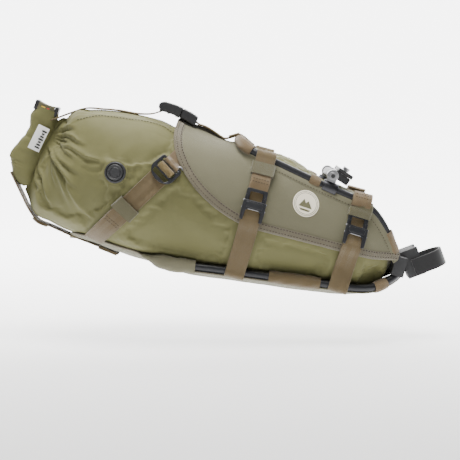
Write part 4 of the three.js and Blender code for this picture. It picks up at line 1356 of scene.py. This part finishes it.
def hook_frame_shape(m):
    parts = Parts()
    outer = rounded([(-13.5, -12.6), (13.5, -12.6), (13.2, 13.5), (-13.2, 13.5)], 3.2, 6)
    window = box(-8.4, -1.5, 8.4, 9.4, 2.0, 6)
    plate(parts, [outer, window], -0.1, HOOK_THICK, 0.8, m)
    for x in (-1, 1):
        rail = rounded([(x * 13.5, -13), (x * 13.5, 5), (x * 10.3, 5), (x * 10.3, -13)], 1.2, 4)
        plate(parts, [rail if x > 0 else rail[::-1]], HOOK_THICK - 1, HOOK_THICK + 0.9, 0.5, m)
    return parts


def hook_base_shape(m):
    parts = Parts()
    outline = [
        (-14.4, -2.4), (14.4, -2.4), (14.8, -14), (14.3, -27), (10.4, -28.2), (9.6, -16), (6.5, -13.2),
        (-6.5, -13.2), (-9.6, -16), (-10.4, -28.2), (-14.3, -27), (-14.8, -14),
    ]
    plate(parts, [rounded(outline, 1.1, 4)], HOOK_THICK + 0.5, HOOK_THICK + 4.4, 1.0, m)
    bar = box(-11, -11.6, 11, -4.2, 2.4, 5)
    plate(parts, [bar], HOOK_THICK + 3.4, HOOK_THICK + 5.6, 0.9, m)
    return parts


def pins(m):
    parts = Parts()
    for y, z, reach in ((-3.4, HOOK_THICK + 2.2, 15.3), (-12.6, HOOK_THICK + 2.4, 15.5)):
        x = np.array([-reach, -reach + 0.5, -reach + 1.2, reach - 1.2, reach - 0.5, reach])
        radius = np.array([0.4, 1.0, 1.25, 1.25, 1.0, 0.4])
        path = place(m, xyz(x, y, z))
        tube(parts, path, radius, 16)
    return parts


# Along each upper strap, from its hook upwards: folded loop from and to, keeper from and to
LOOPS = {"middle": (-0.5, 21, 18.5, 36), "front": (12.5, 35, -2.5, 15)}


def make_side_strap(name, s):
    m = flank_frame(s, HOOK_HEIGHT, HOOK_LIFT)
    path = upper_strap_path(s, m)
    outs = turning_outs(path, m, smoothstep(-14, -44, path[:, 2]))
    upper = strap(Parts(), path, outs, WEB_WIDTH, WEB_THICK)
    d = lengths(path)[-1] - lengths(path) - HOOK_TOP
    loop_from, loop_to, keep_from, keep_to = LOOPS[name]
    loop = (d > loop_from) & (d < loop_to)
    lap = path[loop] + outs[loop] * (1.95 if name == "middle" else 3.6)
    ends = np.array([lap[-1] - outs[loop][-1] * 1.2 + tangents(lap)[-1] * 1.2])
    lap, lap_out = np.vstack([lap, ends]), np.vstack([outs[loop], outs[loop][-1:]])
    fold = strap(Parts(), lap, lap_out, 24, 1.9)
    body = "{side}_" + name + "_hook"
    pair(f"{name}_upper_webbing", upper, WEB, body, ["{side}_" + name + "_strap_upper"])
    pair(f"{name}_folded_loop", fold, LOOP, body)
    thread = Parts()
    for off in (0, 2.4):
        i = np.argmin(np.abs(d[loop] - loop_from - 10 - off))
        cross_stitch(thread, lap, lap_out, i, 10.5, 0.85)
    pair(f"{name}_loop_stitching", thread, THREAD, body)
    span = (d > keep_from) & (d < keep_to)
    keep = band_round(Parts(), path[span] + outs[span] * 1.1, outs[span], 29.5, 7.2)
    pair(f"{name}_keeper", keep, ELASTIC, body)
    catch = "{side}_" + name + "_catch"
    for part, shape, rides in (("frame", hook_frame_shape(m), body), ("catch", hook_base_shape(m), catch)):
        node = "{side}_" + name + ("_hook_frame" if part == "frame" else "_hook_base")
        pair(f"{name}_buckle_{part}", shape, GUNMETAL, rides, [node])
    pair(f"{name}_buckle_pins", pins(m), SILVER, catch)
    make_lower_strap(name, s, m, catch)


def make_lower_strap(name, s, m, body):
    centre = tube_at(LOWER_RIGHT, s)
    start = place(m, [[0, -9, 3.2], [0, -18, 3.6], [0, -28, 3.2]])
    last, _ = at_height(np.float64(s), -112, 4.3)
    mid, _ = at_height(np.float64(s), (start[-1][2] - 112) / 2, 5.0)
    wrap = wrapped(s, centre, LOWER_WRAP, (10, -15, -40, -65, -90, -112))
    path = smooth_path(np.vstack([start, mid, last, wrap]), 1.8)
    outs = turning_outs(path, m, smoothstep(-118, -88, path[:, 2]))
    parts = strap(Parts(), path, outs, WEB_WIDTH, WEB_THICK)
    pair(f"{name}_lower_webbing", parts, WEB, body, ["{side}_" + name + "_strap_lower"])


def make_diagonal():
    heading = unit(np.array([DEE[0] - FOOT[0], 0, DEE[1] - FOOT[1]], float))
    share = np.linspace(-0.16, 0.9, 66)
    s, t = FOOT[0] + (DEE[0] - FOOT[0]) * share, FOOT[1] + (DEE[1] - FOOT[1]) * share
    path, outs = at_height(s, t, 2.2 + 1.6 * (1 - smoothstep(0, 0.9, share)))
    body = "{side}_diagonal"
    sewn, free = share < 0.035, share > -0.005
    foot = strap(Parts(), path[sewn] - outs[sewn] * 0.35, outs[sewn], WEB_WIDTH, 1.5)
    pair("diagonal_sewn_foot", foot, WEB)
    main = strap(Parts(), path[free], outs[free], WEB_WIDTH, WEB_THICK)
    pair("diagonal_webbing", main, WEB, body, ["{side}_diagonal_strap"])
    lap = (share > 0.1) & (share < 0.42)
    fold = strap(Parts(), path[lap] + outs[lap] * 1.9, outs[lap], 24.5, 1.7)
    pair("diagonal_folded_end", fold, WEB, body)
    span = (share > 0.3) & (share < 0.46)
    keep = band_round(Parts(), path[span] + outs[span] * 1.0, outs[span], 30.5, 7.0)
    pair("diagonal_keeper", keep, ELASTIC, body)
    thread = Parts()
    for x in (0.17, 0.2):
        cross_stitch(thread, path, outs, np.argmin(np.abs(share - x)), 11, 2.8)
    pair("diagonal_stitching", thread, THREAD, body)
    m = flank_frame(DEE[0], DEE[1], 2.3, heading)
    turn = np.radians(np.linspace(90, 270, 28))
    arc = xyz(-3.5 + 15.5 * np.cos(turn) * 0.86, 17 * np.sin(turn))
    rim = np.vstack([arc, [(10.5, -16.4), (13, -14.4), (13, 14.4), (10.5, 16.4)]])
    slot_a = rounded([(-12.2, -10.5), (-6, -12.8), (-6, 12.8), (-12.2, 10.5)], 1.6, 4)
    slot_b = box(-2.2, -13, 4.2, 13, 1.6, 4)
    slot_c = box(6.6, -12.6, 10.2, 12.6, 1.4, 4)
    dee = plate(Parts(), [rim, slot_a, slot_b, slot_c], 0.0, 3.8, 1.0, m)
    pair("diagonal_ladder_buckle", dee, GUNMETAL, body, ["{side}_diagonal_buckle"])
    u = np.linspace(0, 1, 24)
    p = place(m, xyz(-4.6 + 10.6 * u, 0, 1.0 + 4.6 * np.sin(u * math.pi) ** 0.7))
    loop = strap(Parts(), p, -strap_outs(p, m[:3, 1]), 22, 1.8)
    pair("diagonal_ladder_loop", loop, TAIL, body)
    h = flank_frame(HOOK[0], HOOK[1], 0.1, heading)
    hook = plate(Parts(), [box(-7, -9, 7, 9, 2, 5), box(-3, -5.4, 3, 5.4, 1.2, 4)], 0, 1.0, 0.4, h)
    pair("diagonal_anchor", hook, GUNMETAL, "harness", ["{side}_diagonal_hook"])
    local = np.array([(7.5, 0, 1.2), (8.6, 0, 4.2), (11, 0, 4.6), (13.2, 0, 2.2)])
    under = np.array([15.5, 19, 24, 29, 34])
    s, t = DEE[0] + heading[0] * under, DEE[1] + heading[2] * under
    hidden, _ = at_height(s, t, np.array([1.2, 0.6, 0.4, 0.4, 0.4]))
    p = smooth_path(np.vstack([place(m, local), hidden]), 1.2)
    tail = strap(Parts(), p, -strap_outs(p, m[:3, 1]), 21, 1.0)
    pair("diagonal_tail", tail, LOOP)
    turn = np.radians(np.linspace(-60, 210, 22))
    ring = xyz(13.4 + 3.0 * np.cos(turn), -11.6 + 3.0 * np.sin(turn), 2.6)
    pin = tube(Parts(), place(m, ring), 1.05, 14)
    pair("diagonal_hook_pin", pin, SILVER, body)


# Centreline straps: along the pack and height. The rest of the top front strap follows the canvas.
TOP_REAR = [
    (-384, -33), (-374, -26), (-360, -16), (-342, -6.5), (-320, -1), (-300, 2), (-275, 5),
    (-258, 10.5), (-246, 17.5),
]
TOP_FRONT_END = [(-152, 7.4), (-146, 11), (-140, 14.4)]
BOTTOM = [
    (-254, -174), (-290, -169), (-317, -164), (-347, -158), (-366, -151), (-381, -143),
    (-394, -131), (-404, -119), (-414, -107),
]
BUCKLE_AT, BUCKLE_TIP = (222, 17), math.radians(11)


def hugging(points, line, gap, side):
    """Keeps a centreline strap's path outside the bag's own line."""
    order = np.argsort(line[:, 0])
    skin = np.interp([s for s, _ in points], line[order, 0], line[order, 2])
    return [(s, max(t, k + gap) if side > 0 else min(t, k - gap)) for (s, t), k in zip(points, skin)]


def centre_strap(name, points, node, thick, doubled=(), body="harness"):
    """A strap on the centreline, doubled over between some places."""
    path = smooth_path([(s, 0, t) for s, t in points], 1.8)
    outs = strap_outs(path, np.array([0, -1.0, 0]))
    path = path + outs * thick / 2
    parts = strap(Parts(), path, outs, WEB_WIDTH, thick)
    for start, end in doubled:
        pick = (path[:, 0] > start) & (path[:, 0] < end)
        strap(parts, path[pick] + outs[pick] * (thick + 0.05), outs[pick], 25.4, thick)
    return piece(name, parts, WEB, body, [node])


def make_centre_straps(bag_top, bag_bottom):
    rear = hugging(TOP_REAR[:7], bag_top, 0.5, 1) + TOP_REAR[7:]
    slack = centre_strap("top_rear_webbing", rear, "top_strap_rear", 1.8, body=None)
    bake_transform(slack)
    s = np.linspace(-197, -160, 8)
    top = section(s)[1] + section(s)[2] + CANVAS_LIFT + TENT * smoothstep(-155, -190, s) + 1.1
    front = [(-202, 15.5), *zip(s, top), *TOP_FRONT_END]
    centre_strap("top_front_webbing", front, "top_strap_front", 1.9, [(-156, -142)])
    low = BOTTOM[:1] + hugging(BOTTOM[1:6], bag_bottom, 3.2, -1) + BOTTOM[6:]
    centre_strap("bottom_webbing", low, "bottom_strap", 1.9, [(-282, -255), (-372, -352)])
    path = smooth_path([(-139, 0, 13.9), (-134, 0, 12.8), (-131, 0, 9.5), (-131.4, 0, 5.5)], 1.2)
    roof = strap(Parts(), path, strap_outs(path, np.array([0, -1.0, 0])), WEB_WIDTH, 1.9)
    piece("cross_tube_loop", roof, LOOP)


def arched(point):
    """Bends the top buckle to follow the bag."""
    x, y, z = leant(point / MM, -TILT)
    x, z = x + BUCKLE_AT[0], z - BUCKLE_AT[1]
    z = 1.4 * (z - 0.0032 * x**2 + 0.006 * y * y)
    x, y, z = leant((x, y, z), BUCKLE_TIP)
    return world((x - BUCKLE_AT[0], y, z + 20.5))


def packed_arch(s, y, z):
    """Places a crosswise line of the buckle, given flat, where the arched buckle has it."""
    return leant([arched(p) / MM for p in world(xyz(s, y, z))], -TILT)


def make_buckle():
    halves = (
        ("buckle_male", "top_buckle", "buckle_prong_half"),
        ("buckle_female", "harness", "buckle_socket_half"),
    )
    for node, body, name in halves:
        refined(node, PLASTIC, body, 1.5, 4, name, bend=arched, cuts=1)
    ribs = Parts()
    for s in (-246.5, -205, -208.5, -212):
        y = np.linspace(-13, 13, 12)
        tube(ribs, packed_arch(s, y, 21.4), 1.0, 10)
    male = Parts()
    y = np.linspace(-14.5, 14.5, 12)
    tube(male, packed_arch(-247.5, y, 17.6), 5.0, 18)
    piece("buckle_grip_ribs", ribs, PLASTIC)
    piece("buckle_end_bar", male, PLASTIC, "top_buckle")


def lathe(parts, profile, m, sides=64):
    a = circle(sides)
    rings = [place(m, xyz(r * np.cos(a), r * np.sin(a), h)) for r, h in profile]
    return parts.loft(rings)


# The valve's turned profiles: radius and height above the cloth
FLANGE = (
    (13.4, -1.5), (13.4, 1.6), (13.1, 2.6), (12.3, 3.2), (11.2, 3.2), (10.7, 2.7), (10.5, 1.6), (2, 1.6),
)
CAP = (
    (9.9, 2.3), (9.9, 4.3), (9.6, 5.0), (8.9, 5.4), (7.9, 5.4), (7.4, 4.9), (6.6, 4.7), (6.2, 5.0),
    (5.7, 5.5), (1, 5.7),
)


def make_valve():
    m = flank_frame(VALVE_AT[0], VALVE_AT[1], 1.2)
    base = lathe(Parts(), FLANGE, m)
    piece("valve_flange", base, VALVE, "harness", ["valve_base"])
    cap = lathe(Parts(), CAP, m)
    for k in range(4):
        a = math.radians(45 + 90 * k)
        lug = box(6.9, -1.5, 9.3, 1.5, 0.7, 4)
        c, s = math.cos(a), math.sin(a)
        turn = np.eye(4)
        turn[:2, :2] = [[c, -s], [s, c]]
        plate(cap, [lug], 4.6, 6.1, 0.4, m @ turn)
    piece("valve_knob_cap", cap, VALVE, "valve_knob", ["valve_cap"])
    rim = lathe(Parts(), [(15.2, -0.9), (15.2, -0.1), (14.8, 0.25), (13.2, 0.3), (13.2, -0.9)], m)
    piece("valve_weld_patch", rim, NYLON)


def make_hardware():
    for side in SIDES:
        refined(f"{side}_leg_joint", RUBBER, "harness", 2.2, 4)
        bracket = refined(f"{side}_rail_bracket", SILVER, "harness", 0.9, 3)
        bracket.data.materials.append(STEEL)
        sign = -1 if side == "right" else 1
        bar = world(UPPER_RIGHT * [1, -sign, 1])
        for face in bracket.data.polygons:
            if np.linalg.norm(bar - np.array(face.center), axis=1).min() < 10 * MM:
                face.material_index = 1
    refined("pivot_bolt", SILVER, "harness", 0.6, 3)
    refined("pivot_nut", SILVER, "harness", 0.5, 3)
    refined("lower_jaw", PLASTIC, "rail_clamp", 1.1, 4)
    refined("upper_jaw", PLASTIC, "upper_jaw_set", 1.1, 4)
    refined("jaw_bolt", SILVER, "upper_jaw_set", 0.6, 3)
    refined("post_block", RUBBER, "harness", 1.6, 4)
    refined("post_strap", LOOPTAPE, "post_band", 0.9, 3)


def make_socket_shade():
    """A flat dark hexagon on the head of the clamp's axle: painted shade standing for its hex socket's hole.
    """
    head = np.array([v.co for v in frame["nodes"]["pivot_bolt"].data.vertices]) / MM
    face = head[head[:, 1] < head[:, 1].min() + 0.3]
    centre = (face.min(0) + face.max(0)) / 2
    m = np.eye(4)
    m[:3, 0], m[:3, 1], m[:3, 2], m[:3, 3] = (1, 0, 0), (0, 0, 1), (0, -1, 0), centre
    a = np.radians(np.arange(6) * 60)
    # The black hexagon is painted shade in place of the socket's recess.
    socket = plate(Parts(), [2.9 * xyz(np.cos(a), np.sin(a))], -0.3, 0.12, 0.05, m)
    piece("axle_socket_shade", socket, PLASTIC, transform=lambda p: p * MM)


# --- Floor, light and camera


# In metres: the floor's half width, its drop below the bag, and the cove and wall behind it
FLOOR_HALF, FLOOR_DROP, COVE_START, COVE_RADIUS, WALL_HEIGHT = 4.0, 0.06, 1.2, 0.9, 4.0
CAMERA_AIM, CAMERA_AWAY, CAMERA_RISE = (-0.1463, 0, -0.0729), 1.8, math.radians(6)


def make_stage():
    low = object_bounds()[0][2] - FLOOR_DROP
    x = np.linspace(-FLOOR_HALF, FLOOR_HALF, 9)
    profile = [(-FLOOR_HALF, low), (COVE_START, low)]
    for k in range(1, 17):
        a = math.radians(90 * k / 16)
        profile.append((COVE_START + COVE_RADIUS * math.sin(a), low + COVE_RADIUS * (1 - math.cos(a))))
    profile.append((COVE_START + COVE_RADIUS, low + WALL_HEIGHT))
    verts = [(a, y, z) for y, z in profile for a in x]
    faces = [
        (r * 9 + c, r * 9 + c + 1, (r + 1) * 9 + c + 1, (r + 1) * 9 + c)
        for r in range(len(profile) - 1) for c in range(8)
    ]
    mesh = bpy.data.meshes.new("studio_floor")
    mesh.from_pydata(verts, [], faces)
    mesh.polygons.foreach_set("use_smooth", np.ones(len(mesh.polygons), bool))
    floor = bpy.data.objects.new("studio_floor", mesh)
    bpy.context.scene.collection.objects.link(floor)
    pale = Finish("pale floor", (0.55, 0.55, 0.55), 0.9)
    # The floor and the wall behind it glow white: painted light, dim at the front and brightest at the wall.
    depth = pale.node("SeparateXYZ", None, Vector=pale.where()).outputs["Y"]
    smooth = {"interpolation_type": "SMOOTHSTEP"}
    glow = pale.node("MapRange", smooth, Value=depth, i1=-0.7, i2=1.1, i3=0.25, i4=5.0).outputs["Result"]
    pale.tree.links.new(glow, pale.shader.inputs["Emission Strength"])
    pale.shader.inputs["Emission Color"].default_value = (1, 1, 1, 1)
    mesh.materials.append(pale.done())


def area_light(name, at, aim, size, power, tone=(1, 1, 1)):
    data = bpy.data.lights.new(name, "AREA")
    data.shape, data.size, data.size_y = "RECTANGLE", *size
    data.energy, data.color = power, tone
    lamp = bpy.data.objects.new(name, data)
    lamp.location = at
    lamp.rotation_euler = (Vector(aim) - Vector(at)).to_track_quat("-Z", "Y").to_euler()
    bpy.context.scene.collection.objects.link(lamp)


def make_lights():
    aim = (-0.14, 0, -0.06)
    area_light("overhead softbox", (-0.25, -0.3, 1.5), aim, (1.2, 0.7), 66, (1, 0.985, 0.96))
    area_light("front fill", (-0.3, -2.2, 0.5), aim, (2.2, 1.4), 5)
    area_light("right rim", (1.4, 0.5, 0.9), aim, (1.0, 1.0), 8)
    world_light = bpy.data.worlds.new("studio")
    world_light.use_nodes = True
    world_light.node_tree.nodes["Background"].inputs["Color"].default_value = (1, 1, 1, 1)
    world_light.node_tree.nodes["Background"].inputs["Strength"].default_value = 0.2
    bpy.context.scene.world = world_light


def make_camera():
    target = Vector(CAMERA_AIM)
    data = bpy.data.cameras.new("camera")
    data.lens, data.sensor_width = 108.4, 36
    data.clip_end = 20
    camera = bpy.data.objects.new("camera", data)
    camera.location = target + CAMERA_AWAY * Vector((0, -math.cos(CAMERA_RISE), math.sin(CAMERA_RISE)))
    camera.rotation_euler = (target - camera.location).to_track_quat("-Z", "Y").to_euler()
    bpy.context.scene.collection.objects.link(camera)
    bpy.context.scene.camera = camera


make_camera()
make_frame()
bag_top_line, bag_bottom_line = make_bag()
make_roll()
panel_grid, panel_out = make_panels()
make_badge(panel_grid, panel_out)
make_sling()
make_sleeves()
for station, place_along in STATIONS.items():
    make_side_strap(station, place_along)
make_diagonal()
make_centre_straps(bag_top_line, bag_bottom_line)
make_buckle()
make_valve()
make_hardware()
make_socket_shade()
make_stage()
make_lights()
